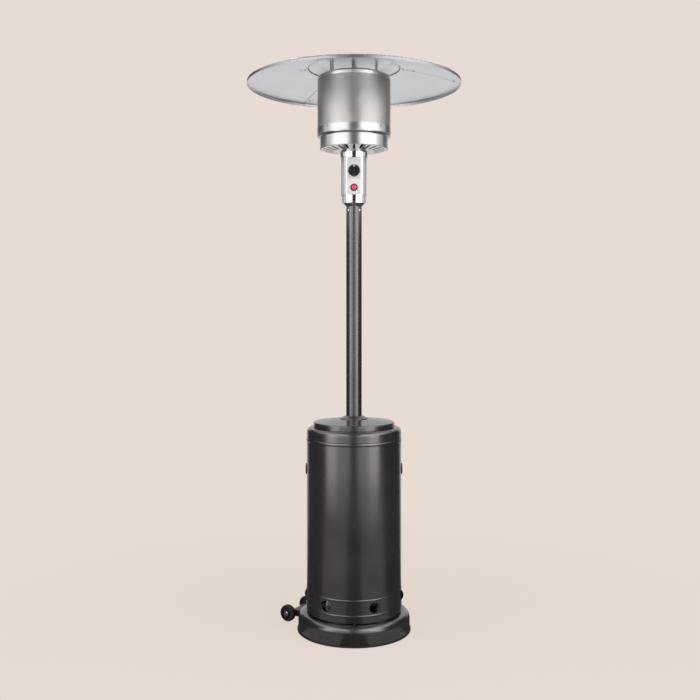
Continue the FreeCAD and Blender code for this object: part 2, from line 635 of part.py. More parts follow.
def padded(body, sketch, length, midplane=False, backwards=False):
    """Raise a sketch into a solid."""
    feature = body.newObject("PartDesign::Pad", "Pad_" + body.Label)
    feature.Profile = sketch
    feature.setExpression("Length", as_size(length).text)
    if midplane:
        feature.SideType = "Symmetric"
    feature.Reversed = backwards
    return feature


def cut_through(body, sketch, backwards=False, both=False):
    """Cut a sketch right through the solid."""
    feature = body.newObject("PartDesign::Pocket", "Pocket_" + body.Label)
    feature.Profile = sketch
    feature.Type = "ThroughAll"
    feature.Reversed = backwards
    if both:
        feature.SideType = "Symmetric"
    return feature


def repeated(body, features, count, turn=360):
    """Repeat features round the post's axis, from the first to the last over the given turn."""
    count = as_size(count)
    pattern = body.newObject("PartDesign::PolarPattern", "Pattern_" + body.Label)
    pattern.Originals = features
    axis = next(item for item in body.Origin.OriginFeatures if item.Role == "Z_Axis")
    pattern.Axis = (axis, [""])
    pattern.Angle = turn
    pattern.Occurrences = int(count.number)
    if "Sizes" in count.text:
        pattern.setExpression("Occurrences", count.text)
    body.Tip = pattern
    return pattern


def turned(label, corners, turn=None):
    """A piece of revolution round the post's axis, from its half profile."""
    body = new_body(label, turn)
    sketch = profile_sketch(body)
    outline(sketch, corners)
    revolved(body, sketch)
    return body


def front_piece(label, corners, height):
    """A turned piece whose axis points out of the front panel. Its local z counts from the panel."""
    body = turned(label, corners)
    body.setExpression("Placement", placed(0, -PANEL_FACE, height, 90, "1; 0; 0"))
    return body


def radial_pin(body, height, steps, turn=None, kind="Revolution"):
    """A round pin or hole pointing away from the axis. Steps are (distance, radius) going outwards."""
    sketch = profile_sketch(body, turn)
    first = steps[0][0]
    last = steps[-1][0]
    guide_line(sketch, (first, height), (last, height))
    corners = [(first, height)]
    for distance, radius in steps:
        corners.append((distance, height + radius))
    corners.append((last, height))
    outline(sketch, corners)
    return revolved(body, sketch, "Axis0", 360, kind)


def upright_pin(body, distance, steps, turn=None, kind="Revolution"):
    """A round pin or hole standing at a distance from the axis. Steps are (height, radius) going up."""
    sketch = profile_sketch(body, turn)
    low = steps[0][0]
    high = steps[-1][0]
    guide_line(sketch, (distance, low), (distance, high))
    corners = [(distance, low)]
    for height, radius in steps:
        corners.append((distance + radius, height))
    corners.append((distance, high))
    outline(sketch, corners)
    return revolved(body, sketch, "Axis0", 360, kind)


def bolt_steps(low, high, nut_rise=BOLT_NUT_RISE, head_rise=BOLT_HEAD_RISE):
    """The outline of a bolt with its nut below and its head above the plates it clamps."""
    return [(low - nut_rise, BOLT_HEAD), (low, BOLT_HEAD), (low, BOLT_RADIUS), (high, BOLT_RADIUS),
            (high, BOLT_HEAD), (high + head_rise, BOLT_HEAD)]


def bolt_hole(body, distance, low, high, turn=None):
    """An upright bolt hole through a plate."""
    steps = [(low - PAST, BOLT_RADIUS + CLEARANCE), (high + PAST, BOLT_RADIUS + CLEARANCE)]
    return upright_pin(body, distance, steps, turn, "Groove")


# Base
SCREW_ANGLE = arc_sine(WALL_SCREW_SPREAD / 2 / BASE_RADIUS)
BASE_INNER = BASE_RADIUS - STEEL
PAN_RADIUS = BASE_INNER - PAN_GAP
PAN_TAB_INNER = PAN_RADIUS - STEEL
TRIM_GROOVE_FLOOR = TRIM_RISE - TRIM_SLOT
WALL_PAIR_TURNS = 4


def wall_screw_holes(body):
    """Four pairs of screw holes round the base wall."""
    holes = []
    steps = [(PAN_TAB_INNER - PAST, WALL_SCREW_RADIUS + CLEARANCE),
             (BASE_RADIUS + PAST, WALL_SCREW_RADIUS + CLEARANCE)]
    for turn in (WALL_SCREW_TURN + SCREW_ANGLE, WALL_SCREW_TURN - SCREW_ANGLE):
        holes.append(radial_pin(body, WALL_SCREW_HEIGHT, steps, turn, "Groove"))
    repeated(body, holes, WALL_PAIR_TURNS)


def make_base_shell():
    shoulder = BASE_RADIUS - BASE_SHOULDER
    inner_shoulder = BASE_SHOULDER - STEEL
    low = TRIM_GROOVE_FLOOR + JOINT_GAP
    shell = turned("base_shell", [
        (BASE_INNER, low),
        (BASE_RADIUS, low),
        (BASE_RADIUS, BASE_TOP - BASE_SHOULDER, BASE_SHOULDER, 1),
        (shoulder, BASE_TOP),
        (BASE_LEDGE, BASE_TOP),
        (BASE_LEDGE, BASE_FLOOR),
        (0, BASE_FLOOR),
        (0, BASE_FLOOR - STEEL),
        (BASE_LEDGE + STEEL, BASE_FLOOR - STEEL),
        (BASE_LEDGE + STEEL, BASE_TOP - STEEL),
        (shoulder, BASE_TOP - STEEL, inner_shoulder, -1),
        (BASE_INNER, BASE_TOP - BASE_SHOULDER),
    ])
    wall_screw_holes(shell)
    hole = bolt_hole(shell, FOOT_BOLT_CIRCLE, BASE_FLOOR - STEEL, BASE_FLOOR, LEG_TURN)
    repeated(shell, [hole], THIRDS)


def make_base_trim():
    groove_inner = BASE_INNER - CLEARANCE
    groove_outer = BASE_RADIUS + CLEARANCE
    turned("base_edge_trim", [
        (TRIM_OUTER - TRIM_WIDTH, 0),
        (TRIM_OUTER - TRIM_CHAMFER, 0),
        (TRIM_OUTER, TRIM_CHAMFER),
        (TRIM_OUTER, TRIM_RISE - TRIM_CHAMFER),
        (TRIM_OUTER - TRIM_CHAMFER, TRIM_RISE),
        (groove_outer, TRIM_RISE),
        (groove_outer, TRIM_GROOVE_FLOOR),
        (groove_inner, TRIM_GROOVE_FLOOR),
        (groove_inner, TRIM_RISE),
        (TRIM_OUTER - TRIM_WIDTH, TRIM_RISE),
    ])


def make_base_pan():
    pan = turned("base_pan", [
        (0, PAN_RISE),
        (PAN_RADIUS, PAN_RISE),
        (PAN_RADIUS, PAN_RISE + STEEL),
        (0, PAN_RISE + STEEL),
    ])
    sketch = profile_sketch(pan, WALL_SCREW_TURN - PAN_TAB_TURN / 2)
    rectangle(sketch, PAN_TAB_INNER, PAN_RISE, PAN_RADIUS, PAN_TAB_TOP)
    tab = revolved(pan, sketch, turn=PAN_TAB_TURN)
    repeated(pan, [tab], WALL_PAIR_TURNS)
    wall_screw_holes(pan)


def screw_pair(body, seat, turn):
    """Two wall screws side by side, whose heads lie on a wall of the given radius."""
    screws = []
    for side in (turn + SCREW_ANGLE, turn - SCREW_ANGLE):
        screws.append(radial_pin(body, WALL_SCREW_HEIGHT, [
            (BASE_RADIUS - WALL_SCREW_REACH, WALL_SCREW_RADIUS),
            (seat, WALL_SCREW_RADIUS),
            (seat, WALL_SCREW_HEAD),
            (seat + WALL_SCREW_RISE / 2, WALL_SCREW_HEAD),
            (seat + WALL_SCREW_RISE, WALL_SCREW_HEAD / 2),
        ], side))
    return screws


def make_wall_screws():
    """Three pairs in the bare wall, and the pair that holds the wheel bracket."""
    body = new_body("base_wall_screws")
    pair = screw_pair(body, BASE_RADIUS, WALL_SCREW_TURN)
    repeated(body, pair, WALL_PAIR_TURNS - 1, 90 * (WALL_PAIR_TURNS - 2))
    body.Tip = screw_pair(body, BRACKET_SKIN, WHEEL_TURN)[-1]


def make_rest_pads():
    body = new_body("rest_pads")
    pad = upright_pin(body, REST_PAD_CIRCLE, [
        (BASE_TOP, REST_PAD_RADIUS),
        (BASE_TOP + REST_PAD_RISE - REST_PAD_CHAMFER, REST_PAD_RADIUS),
        (BASE_TOP + REST_PAD_RISE, REST_PAD_RADIUS - REST_PAD_CHAMFER),
    ], REST_PAD_TURN)
    repeated(body, [pad], THIRDS)


make_base_shell()
make_base_trim()
make_base_pan()
make_rest_pads()

# Wheels on their bracket, modelled on the +X side and turned into place
BRACKET_FACE = BASE_RADIUS + CLEARANCE
BRACKET_SKIN = BRACKET_FACE + BRACKET_SHEET
CHEEK_INNER = CHEEK_HALF - CHEEK_SHEET
CHEEK_ROOT = leg(BRACKET_FACE, CHEEK_INNER) + CHEEK_SET_IN
WHEEL_INNER = CHEEK_HALF + SPACER_LENGTH + SIDE_PLAY
WHEEL_OUTER = WHEEL_INNER + WHEEL_WIDTH


def make_wheel_bracket():
    body = new_body("wheel_bracket", WHEEL_TURN)
    spread = arc_sine(CHEEK_INNER / BRACKET_FACE)
    sketch = profile_sketch(body, -spread)
    rectangle(sketch, BRACKET_FACE, BRACKET_LOW, BRACKET_SKIN, BRACKET_TOP)
    revolved(body, sketch, turn=spread * 2)
    shelf = level_sketch(body, BRACKET_TOP - BRACKET_SHEET)
    inner = leg(BRACKET_FACE + CHEEK_SET_IN, CHEEK_INNER)
    outline(shelf, [
        (inner, -CHEEK_INNER, BRACKET_FACE + CHEEK_SET_IN, 1),
        (inner, CHEEK_INNER),
        (BRACKET_SHELF, CHEEK_INNER),
        (BRACKET_SHELF, -CHEEK_INNER),
    ])
    padded(body, shelf, BRACKET_SHEET)
    for side in (1, -1):
        edge = CHEEK_INNER if side > 0 else -CHEEK_HALF
        cheek = new_sketch(body, "XZ_Plane", placed(0, 0, -edge))
        outline(cheek, [
            (CHEEK_ROOT, BRACKET_LOW),
            (AXLE_CIRCLE, BRACKET_LOW, HALF_TURN, 1),
            (AXLE_CIRCLE, BRACKET_TOP),
            (CHEEK_ROOT, BRACKET_TOP),
        ])
        circle(cheek, AXLE_CIRCLE, AXLE_HEIGHT, AXLE_RADIUS + CLEARANCE / 2)
        padded(body, cheek, CHEEK_SHEET, backwards=True)
    hole = WALL_SCREW_RADIUS + CLEARANCE
    steps = [(BASE_RADIUS, hole), (BRACKET_SKIN + PAST, hole)]
    for turn in (SCREW_ANGLE, -SCREW_ANGLE):
        body.Tip = radial_pin(body, WALL_SCREW_HEIGHT, steps, turn, "Groove")


def axle_piece(label, corners):
    """A piece turned round the axle from (radius, distance along the axle) corners."""
    body = new_body(label, WHEEL_TURN)
    sketch = level_sketch(body, AXLE_HEIGHT)
    guide_line(sketch, (AXLE_CIRCLE, 0), (AXLE_CIRCLE, AXLE_HALF))
    outline(sketch, [(AXLE_CIRCLE + corner[0],) + tuple(corner[1:]) for corner in corners])
    return body, revolved(body, sketch, "Axis0")


def mirrored(body, features):
    """Repeat features on the other side of the body's XZ plane."""
    mirror = body.newObject("PartDesign::Mirrored", "Mirror_" + body.Label)
    mirror.Originals = features
    plane = next(item for item in body.Origin.OriginFeatures if item.Role == "XZ_Plane")
    mirror.MirrorPlane = (plane, [""])
    body.Tip = mirror


def make_axle():
    axle_piece("wheel_axle", [
        (0, -AXLE_HALF),
        (AXLE_RADIUS - END_CHAMFER, -AXLE_HALF),
        (AXLE_RADIUS, -AXLE_HALF + END_CHAMFER),
        (AXLE_RADIUS, AXLE_HALF - END_CHAMFER),
        (AXLE_RADIUS - END_CHAMFER, AXLE_HALF),
        (0, AXLE_HALF),
    ])
    bore = AXLE_RADIUS + JOINT_GAP
    body, spacer = axle_piece("wheel_spacers", [
        (bore, CHEEK_HALF + JOINT_GAP),
        (SPACER_RADIUS, CHEEK_HALF + JOINT_GAP),
        (SPACER_RADIUS, CHEEK_HALF + SPACER_LENGTH),
        (bore, CHEEK_HALF + SPACER_LENGTH),
    ])
    mirrored(body, [spacer])
    low = WHEEL_OUTER + SIDE_PLAY
    end = AXLE_HALF + CLEARANCE
    body, cap = axle_piece("axle_caps", [
        (bore, low),
        (CAP_RADIUS, low),
        (CAP_RADIUS, end),
        (CAP_RADIUS - CAP_DOME, AXLE_HALF + CAP_DOME),
        (0, AXLE_HALF + CAP_DOME),
        (0, end),
        (bore, end),
    ])
    mirrored(body, [cap])


def make_wheel(label, side):
    """A moulded wheel with a thick tyre, a dished web and a hub. Side is 1 or -1 along the axle."""
    tyre = WHEEL_RADIUS - WHEEL_TYRE
    corners = [
        (AXLE_RADIUS + RUNNING_GAP, 0),
        (WHEEL_HUB, 0),
        (WHEEL_HUB, WHEEL_DISH),
        (tyre, WHEEL_DISH),
        (tyre, 0),
        (WHEEL_RADIUS - WHEEL_EDGE, 0, WHEEL_EDGE, side),
        (WHEEL_RADIUS, WHEEL_EDGE),
        (WHEEL_RADIUS, WHEEL_WIDTH - WHEEL_EDGE, WHEEL_EDGE, side),
        (WHEEL_RADIUS - WHEEL_EDGE, WHEEL_WIDTH),
        (tyre, WHEEL_WIDTH),
        (tyre, WHEEL_WIDTH - WHEEL_DISH),
        (WHEEL_HUB, WHEEL_WIDTH - WHEEL_DISH),
        (WHEEL_HUB, WHEEL_WIDTH),
        (AXLE_RADIUS + RUNNING_GAP, WHEEL_WIDTH),
    ]
    placed_corners = [(corner[0], side * (WHEEL_INNER + corner[1])) + tuple(corner[2:]) for corner in corners]
    axle_piece(label, placed_corners)


make_wheel_bracket()
make_wall_screws()
make_axle()
make_wheel("wheel_front", 1)
make_wheel("wheel_rear", -1)

# Legs, post and gas inlet
LEG_OUTER = LEG_FACE + PLATE
LEG_LOW = BASE_FLOOR
PLATE_TOP = LEG_TOP + PLATE
FLANGE_TOP = PLATE_TOP + POST_FLANGE_SHEET
POST_INNER = POST_RADIUS - STEEL


def make_leg(number):
    """A flat bar bent from its foot on the base floor to its tab under the mount plate."""
    body = new_body(f"support_leg_{number + 1}", LEG_TURN + 360 / THIRDS * number)
    sketch = profile_sketch(body)
    foot_outer = LEG_FOOT_BEND + PLATE
    top_outer = LEG_TOP_BEND + PLATE
    outline(sketch, [
        (LEG_FOOT, LEG_LOW),
        (LEG_OUTER - foot_outer, LEG_LOW, foot_outer, 1),
        (LEG_OUTER, LEG_LOW + foot_outer),
        (LEG_OUTER, LEG_TOP - top_outer, top_outer, 1),
        (LEG_OUTER - top_outer, LEG_TOP),
        (LEG_TAB, LEG_TOP),
        (LEG_TAB, LEG_TOP - PLATE),
        (LEG_OUTER - top_outer, LEG_TOP - PLATE, LEG_TOP_BEND, -1),
        (LEG_FACE, LEG_TOP - top_outer),
        (LEG_FACE, LEG_LOW + foot_outer, LEG_FOOT_BEND, -1),
        (LEG_FACE - LEG_FOOT_BEND, LEG_LOW + PLATE),
        (LEG_FOOT, LEG_LOW + PLATE),
    ])
    padded(body, sketch, LEG_WIDTH, midplane=True)
    bolt_hole(body, FOOT_BOLT_CIRCLE, LEG_LOW, LEG_LOW + PLATE)
    body.Tip = bolt_hole(body, TOP_BOLT_CIRCLE, LEG_TOP - PLATE, LEG_TOP)


def make_frame_bolts():
    """The bolts of the legs' feet, of the legs' tops and of the post's flange."""
    body = new_body("frame_bolts")
    feet = upright_pin(body, FOOT_BOLT_CIRCLE, bolt_steps(BASE_FLOOR - STEEL, BASE_FLOOR + PLATE), LEG_TURN)
    tops = upright_pin(body, TOP_BOLT_CIRCLE, bolt_steps(LEG_TOP - PLATE, PLATE_TOP), LEG_TURN)
    repeated(body, [feet, tops], THIRDS)
    flange = upright_pin(body, FLANGE_BOLT_CIRCLE, bolt_steps(LEG_TOP, FLANGE_TOP), QUARTER_TURN)
    repeated(body, [flange], FLANGE_BOLTS)


def make_mount_plate():
    plate = turned("post_mount_plate", [
        (INLET_RADIUS + BODY_GAP, LEG_TOP),
        (MOUNT_RADIUS, LEG_TOP),
        (MOUNT_RADIUS, PLATE_TOP),
        (INLET_RADIUS + BODY_GAP, PLATE_TOP),
    ])
    hole = bolt_hole(plate, TOP_BOLT_CIRCLE, LEG_TOP, PLATE_TOP, LEG_TURN)
    repeated(plate, [hole], THIRDS)
    hole = bolt_hole(plate, FLANGE_BOLT_CIRCLE, LEG_TOP, PLATE_TOP, QUARTER_TURN)
    repeated(plate, [hole], FLANGE_BOLTS)


def make_post():
    post = turned("post", [
        (POST_INNER, PLATE_TOP),
        (POST_FLANGE, PLATE_TOP),
        (POST_FLANGE, FLANGE_TOP),
        (POST_RADIUS, FLANGE_TOP),
        (POST_RADIUS, POST_TOP),
        (POST_INNER, POST_TOP),
    ])
    hole = bolt_hole(post, FLANGE_BOLT_CIRCLE, PLATE_TOP, FLANGE_TOP, QUARTER_TURN)
    repeated(post, [hole], FLANGE_BOLTS)
    passage = TOP_SCREW_RADIUS + CLEARANCE
    steps = [(POST_INNER - PAST, passage), (POST_RADIUS + PAST, passage)]
    hole = radial_pin(post, TOP_SCREW_HEIGHT, steps, QUARTER_TURN, "Groove")
    repeated(post, [hole], TOP_SCREWS)


def make_gas_line():
    inlet_top = LEG_TOP - CLEARANCE
    nut_low = inlet_top - INLET_NUT_RISE
    bore = GAS_TUBE_RADIUS + JOINT_GAP
    turned("gas_inlet_fitting", [
        (GAS_TUBE_RADIUS - GAS_TUBE_WALL, nut_low - INLET_LENGTH),
        (INLET_RADIUS, nut_low - INLET_LENGTH),
        (INLET_RADIUS, nut_low),
        (INLET_NUT_RADIUS, nut_low),
        (INLET_NUT_RADIUS, inlet_top),
        (INLET_RADIUS, inlet_top),
        (INLET_RADIUS, inlet_top + INLET_NECK),
        (bore, inlet_top + INLET_NECK),
        (bore, inlet_top),
        (GAS_TUBE_RADIUS - GAS_TUBE_WALL, inlet_top),
    ])
    turned("gas_tube", [
        (GAS_TUBE_RADIUS - GAS_TUBE_WALL, inlet_top),
        (GAS_TUBE_RADIUS, inlet_top),
        (GAS_TUBE_RADIUS, VALVE_LOW - VALVE_BOSS_RISE),
        (GAS_TUBE_RADIUS - GAS_TUBE_WALL, VALVE_LOW - VALVE_BOSS_RISE),
    ])


for leg_number in range(THIRDS):
    make_leg(leg_number)
make_frame_bolts()
make_mount_plate()
make_post()
make_gas_line()

# Housing
HOUSING_INNER = HOUSING_RADIUS - SKIN
BEAD_DEPTH = leg(BEAD_RADIUS, BEAD_HALF)
BEAD_INNER_HALF = leg(BEAD_RADIUS - SKIN, BEAD_DEPTH - SKIN)
SLEEVE_RADIUS = HOUSING_INNER - CLEARANCE
DOME_RADIUS = (VENT_RADIUS * VENT_RADIUS + VENT_RISE * VENT_RISE) / (VENT_RISE * 2)
DOME_CENTRE = HOUSING_RADIUS + VENT_RISE - DOME_RADIUS
DOME_FOOT = HOUSING_RADIUS - SKIN * 2


def add_vents(body):
    """Six pressed vents: a dome over a round hole, cut away on one side to leave a hood."""
    apex = HOUSING_RADIUS + VENT_RISE
    outer = leg(DOME_RADIUS, DOME_FOOT - DOME_CENTRE)
    inner = leg(DOME_RADIUS - SKIN, DOME_FOOT - DOME_CENTRE)
    sketch = profile_sketch(body, VENT_TURN)
    guide_line(sketch, (DOME_FOOT, VENT_HEIGHT), (apex, VENT_HEIGHT))
    outline(sketch, [
        (apex, VENT_HEIGHT, DOME_RADIUS, 1),
        (DOME_FOOT, VENT_HEIGHT + outer),
        (DOME_FOOT, VENT_HEIGHT + inner, DOME_RADIUS - SKIN, -1),
        (apex - SKIN, VENT_HEIGHT),
    ])
    dome = revolved(body, sketch, "Axis0")
    sketch = profile_sketch(body, VENT_TURN)
    guide_line(sketch, (DOME_FOOT, VENT_HEIGHT), (apex, VENT_HEIGHT))
    outline(sketch, [
        (DOME_FOOT - PAST * 2, VENT_HEIGHT),
        (apex - SKIN, VENT_HEIGHT, DOME_RADIUS - SKIN, 1),
        (DOME_FOOT, VENT_HEIGHT + inner),
        (DOME_FOOT - PAST * 2, VENT_HEIGHT + inner),
    ])
    inside = revolved(body, sketch, "Axis0", 360, "Groove")
    mouth_turn = arc_sine(VENT_MOUTH / HOUSING_RADIUS)
    open_turn = arc_sine((VENT_RADIUS + PAST) / HOUSING_RADIUS)
    mouth_half = VENT_RADIUS + CLEARANCE
    sketch = profile_sketch(body, VENT_TURN - open_turn)
    rectangle(sketch, HOUSING_RADIUS, VENT_HEIGHT - mouth_half, apex + PAST, VENT_HEIGHT + mouth_half)
    mouth = revolved(body, sketch, "V_Axis", open_turn + mouth_turn, "Groove")
    repeated(body, [dome, inside, mouth], VENT_COUNT)
    clean = profile_sketch(body)
    rectangle(clean, DOME_FOOT - PAST * 2, VENT_HEIGHT - outer - PAST,
              HOUSING_INNER, VENT_HEIGHT + outer + PAST)
    body.Tip = revolved(body, clean, "V_Axis", 360, "Groove")


def make_housing():
    beads_out = []
    beads_in = []
    for height in (LOW_BEAD, HIGH_BEAD):
        beads_out += [(HOUSING_RADIUS, height - BEAD_HALF, BEAD_RADIUS, 1),
                      (HOUSING_RADIUS, height + BEAD_HALF)]
    for height in (HIGH_BEAD, LOW_BEAD):
        beads_in += [(HOUSING_INNER, height + BEAD_INNER_HALF, BEAD_RADIUS - SKIN, -1),
                     (HOUSING_INNER, height - BEAD_INNER_HALF)]
    hem = HOUSING_RADIUS - HOUSING_HEM
    body = turned("housing_cylinder", [(hem, HOUSING_LOW), (HOUSING_RADIUS, HOUSING_LOW)] + beads_out + [
        (HOUSING_RADIUS, HOUSING_TOP),
        (HOUSING_INNER, HOUSING_TOP),
    ] + beads_in + [
        (HOUSING_INNER, HOUSING_LOW + SKIN),
        (hem, HOUSING_LOW + SKIN),
    ])
    add_vents(body)
    opening = GRIP_SLEEVE + GRIP_GAP
    steps = [(HOUSING_INNER - PAST, opening), (HOUSING_RADIUS + PAST, opening)]
    hole = radial_pin(body, GRIP_HEIGHT, steps, None, "Groove")
    repeated(body, [hole], 2)


def make_top_ring():
    shoulder = HOUSING_RADIUS - RING_SHOULDER
    bead_low = RING_LOW + RING_EDGE
    bead_high = bead_low + RING_BEAD_HALF * 2
    turned("housing_top_ring", [
        (SLEEVE_RADIUS - SKIN, RING_LOW - RING_SLEEVE),
        (SLEEVE_RADIUS, RING_LOW - RING_SLEEVE),
        (SLEEVE_RADIUS, RING_LOW),
        (HOUSING_RADIUS, RING_LOW),
        (HOUSING_RADIUS, bead_low, RING_BEAD_RADIUS, 1),
        (HOUSING_RADIUS, bead_high),
        (HOUSING_RADIUS - RING_GROOVE, bead_high + RING_GROOVE),
        (HOUSING_RADIUS, bead_high + RING_GROOVE * 2),
        (HOUSING_RADIUS, RING_TOP - RING_SHOULDER, RING_SHOULDER, 1),
        (shoulder, RING_TOP),
        (RING_OPENING, RING_TOP),
        (RING_OPENING, RING_TOP - RING_LIP),
        (RING_OPENING + SKIN, RING_TOP - RING_LIP),
        (RING_OPENING + SKIN, RING_TOP - SKIN),
        (shoulder, RING_TOP - SKIN, RING_SHOULDER - SKIN, -1),
        (HOUSING_INNER, RING_TOP - RING_SHOULDER),
        (HOUSING_INNER, bead_high + RING_GROOVE * 2),
        (SLEEVE_RADIUS - SKIN, bead_high + RING_GROOVE * 2 - SKIN),
    ])


def make_lid():
    low = RING_TOP + CLEARANCE
    turned("housing_lid", [
        (LID_RADIUS - SKIN, low),
        (LID_RADIUS, low),
        (LID_RADIUS, LID_EDGE - LID_ROUND, LID_ROUND, 1),
        (LID_RADIUS - LID_ROUND, LID_EDGE),
        (LID_FLAT, LID_CENTRE),
        (POST_RADIUS + LID_HOLE_GAP, LID_CENTRE),
        (POST_RADIUS + LID_HOLE_GAP, LID_CENTRE - SKIN),
        (LID_FLAT, LID_CENTRE - SKIN),
        (LID_RADIUS - LID_ROUND, LID_EDGE - SKIN, LID_ROUND - SKIN, -1),
        (LID_RADIUS - SKIN, LID_EDGE - LID_ROUND),
    ])
    low = LID_CENTRE
    turned("post_collar", [
        (POST_RADIUS + BODY_GAP, low),
        (COLLAR_FOOT, low),
        (COLLAR_FOOT, low + COLLAR_LIP),
        (POST_RADIUS + BODY_GAP + COLLAR_LIP, low + COLLAR_RISE),
        (POST_RADIUS + BODY_GAP, low + COLLAR_RISE),
    ])


def make_grip(label, turn):
    """A hand-hole bush: a rounded flange that follows the wall, and a sleeve through it."""
    body = new_body(label, turn)
    face = HOUSING_RADIUS + GRIP_RISE
    sketch = profile_sketch(body)
    guide_line(sketch, (HOUSING_INNER, GRIP_HEIGHT), (face, GRIP_HEIGHT))
    outline(sketch, [
        (HOUSING_INNER - PAST, GRIP_HEIGHT + GRIP_HOLE),
        (HOUSING_INNER - PAST, GRIP_HEIGHT + GRIP_RADIUS),
        (face - GRIP_ROUND, GRIP_HEIGHT + GRIP_RADIUS, GRIP_ROUND, -1),
        (face, GRIP_HEIGHT + GRIP_RADIUS - GRIP_ROUND),
        (face, GRIP_HEIGHT + GRIP_HOLE + GRIP_ROUND, GRIP_ROUND, -1),
        (face - GRIP_ROUND, GRIP_HEIGHT + GRIP_HOLE),
    ])
    revolved(body, sketch, "Axis0")
    seat = profile_sketch(body)
    rectangle(seat, HOUSING_INNER - PAST * 4, GRIP_HEIGHT - GRIP_RADIUS - PAST,
              HOUSING_RADIUS + JOINT_GAP, GRIP_HEIGHT + GRIP_RADIUS + PAST)
    revolved(body, seat, "V_Axis", 360, "Groove")
    sleeve = profile_sketch(body)
    guide_line(sleeve, (HOUSING_INNER, GRIP_HEIGHT), (face, GRIP_HEIGHT))
    rectangle(sleeve, HOUSING_INNER - GRIP_DEPTH, GRIP_HEIGHT + GRIP_HOLE,
              HOUSING_RADIUS + GRIP_RISE / 2, GRIP_HEIGHT + GRIP_SLEEVE)
    body.Tip = revolved(body, sleeve, "Axis0")


make_housing()
make_top_ring()
make_lid()
make_grip("side_grip_right", None)
make_grip("side_grip_left", 180)

# Control head
SHELL_LOW = CONE_TOP + JOINT_GAP
SHELL_INNER = SHELL_RADIUS - STAINLESS
COVER_INNER = COVER_RADIUS - STAINLESS
PANEL_BACK = PANEL_FACE - STEEL


def make_head_cone():
    spigot_inner = SPIGOT_RADIUS - STEEL
    rim = CONE_TOP - STEEL
    cone = turned("head_cone", [
        (spigot_inner, CONE_LOW - SPIGOT_LENGTH),
        (SPIGOT_RADIUS, CONE_LOW - SPIGOT_LENGTH),
        (SPIGOT_RADIUS, CONE_LOW),
        (POST_RADIUS + CONE_SEAT, CONE_LOW),
        (CONE_RADIUS, rim),
        (CONE_RADIUS, CONE_TOP),
        (CONE_OPENING, CONE_TOP),
        (CONE_OPENING, CONE_TOP - STAINLESS),
        (CONE_RADIUS - CONE_WALL, CONE_TOP - STAINLESS),
        (POST_RADIUS, CONE_LOW + STEEL),
        (spigot_inner, CONE_LOW + STEEL),
    ])
    thread = TOP_SCREW_RADIUS + JOINT_GAP
    steps = [(spigot_inner - PAST, thread), (SPIGOT_RADIUS + PAST, thread)]
    hole = radial_pin(cone, TOP_SCREW_HEIGHT, steps, QUARTER_TURN, "Groove")
    repeated(cone, [hole], TOP_SCREWS)
    screws = new_body("post_top_screws")
    screw = radial_pin(screws, TOP_SCREW_HEIGHT, [
        (spigot_inner - TOP_SCREW_END, TOP_SCREW_RADIUS),
        (POST_RADIUS, TOP_SCREW_RADIUS),
        (POST_RADIUS, TOP_SCREW_HEAD),
        (POST_RADIUS + TOP_SCREW_RISE / 2, TOP_SCREW_HEAD),
        (POST_RADIUS + TOP_SCREW_RISE, TOP_SCREW_HEAD / 2),
    ], QUARTER_TURN)
    repeated(screws, [screw], TOP_SCREWS)


def make_lower_shell():
    """The cup under the cover, with a notch at the front for the panel."""
    shell = turned("head_lower_shell", [
        (SHELL_OPENING, SHELL_LOW),
        (SHELL_RADIUS, SHELL_LOW),
        (SHELL_RADIUS, COVER_LOW + SHELL_OVERLAP),
        (SHELL_INNER, COVER_LOW + SHELL_OVERLAP),
        (SHELL_INNER, SHELL_LOW + STAINLESS),
        (SHELL_OPENING, SHELL_LOW + STAINLESS),
    ])
    notch = new_sketch(shell, "XZ_Plane", placed(0, 0, PANEL_BACK - PANEL_RETURN - PAST))
    half = PANEL_WIDTH / 2 + PANEL_GAP
    rectangle(notch, -half, COVER_LOW, half, COVER_LOW + SHELL_OVERLAP + PAST)
    shell.Tip = cut_through(shell, notch, backwards=True)


def make_cover():
    lip = COVER_RADIUS - COVER_LIP
    cover = turned("control_cover", [
        (SHELL_RADIUS + CLEARANCE, COVER_LOW),
        (COVER_RADIUS, COVER_LOW),
        (COVER_RADIUS, COVER_TOP),
        (lip, COVER_TOP),
        (lip, COVER_TOP - STAINLESS),
        (COVER_INNER, COVER_TOP - STAINLESS),
        (COVER_INNER, COVER_LOW + STAINLESS),
        (SHELL_RADIUS + CLEARANCE, COVER_LOW + STAINLESS),
    ])
    window = new_sketch(cover, "XZ_Plane", placed(0, 0, PANEL_BACK - PANEL_RETURN - PAST))
    half = PANEL_WIDTH / 2 + PANEL_GAP
    rectangle(window, -half, COVER_LOW + STAINLESS, half, PANEL_TOP + PANEL_GAP)
    pocket = cut_through(cover, window, backwards=True)
    cover.Tip = pocket


def make_panel():
    """The flat front panel with returned sides, drawn in section and raised."""
    panel = new_body("control_panel")
    half = PANEL_WIDTH / 2
    low = COVER_LOW + STAINLESS + CLEARANCE
    section = level_sketch(panel, low)
    outline(section, [
        (-half, -PANEL_FACE),
        (half, -PANEL_FACE),
        (half, -PANEL_FACE + PANEL_RETURN),
        (half - STEEL, -PANEL_FACE + PANEL_RETURN),
        (half - STEEL, -PANEL_BACK),
        (-half + STEEL, -PANEL_BACK),
        (-half + STEEL, -PANEL_FACE + PANEL_RETURN),
        (-half, -PANEL_FACE + PANEL_RETURN),
    ])
    padded(panel, section, PANEL_TOP - low)
    holes = new_sketch(panel, "XZ_Plane", placed(0, 0, PANEL_BACK - PAST))
    circle(holes, 0, KNOB_HEIGHT, STEM_RADIUS + STEM_HOLE_GAP)
    circle(holes, 0, IGNITER_HEIGHT, BEZEL_NECK + CLEARANCE)
    panel.Tip = cut_through(panel, holes, backwards=True)


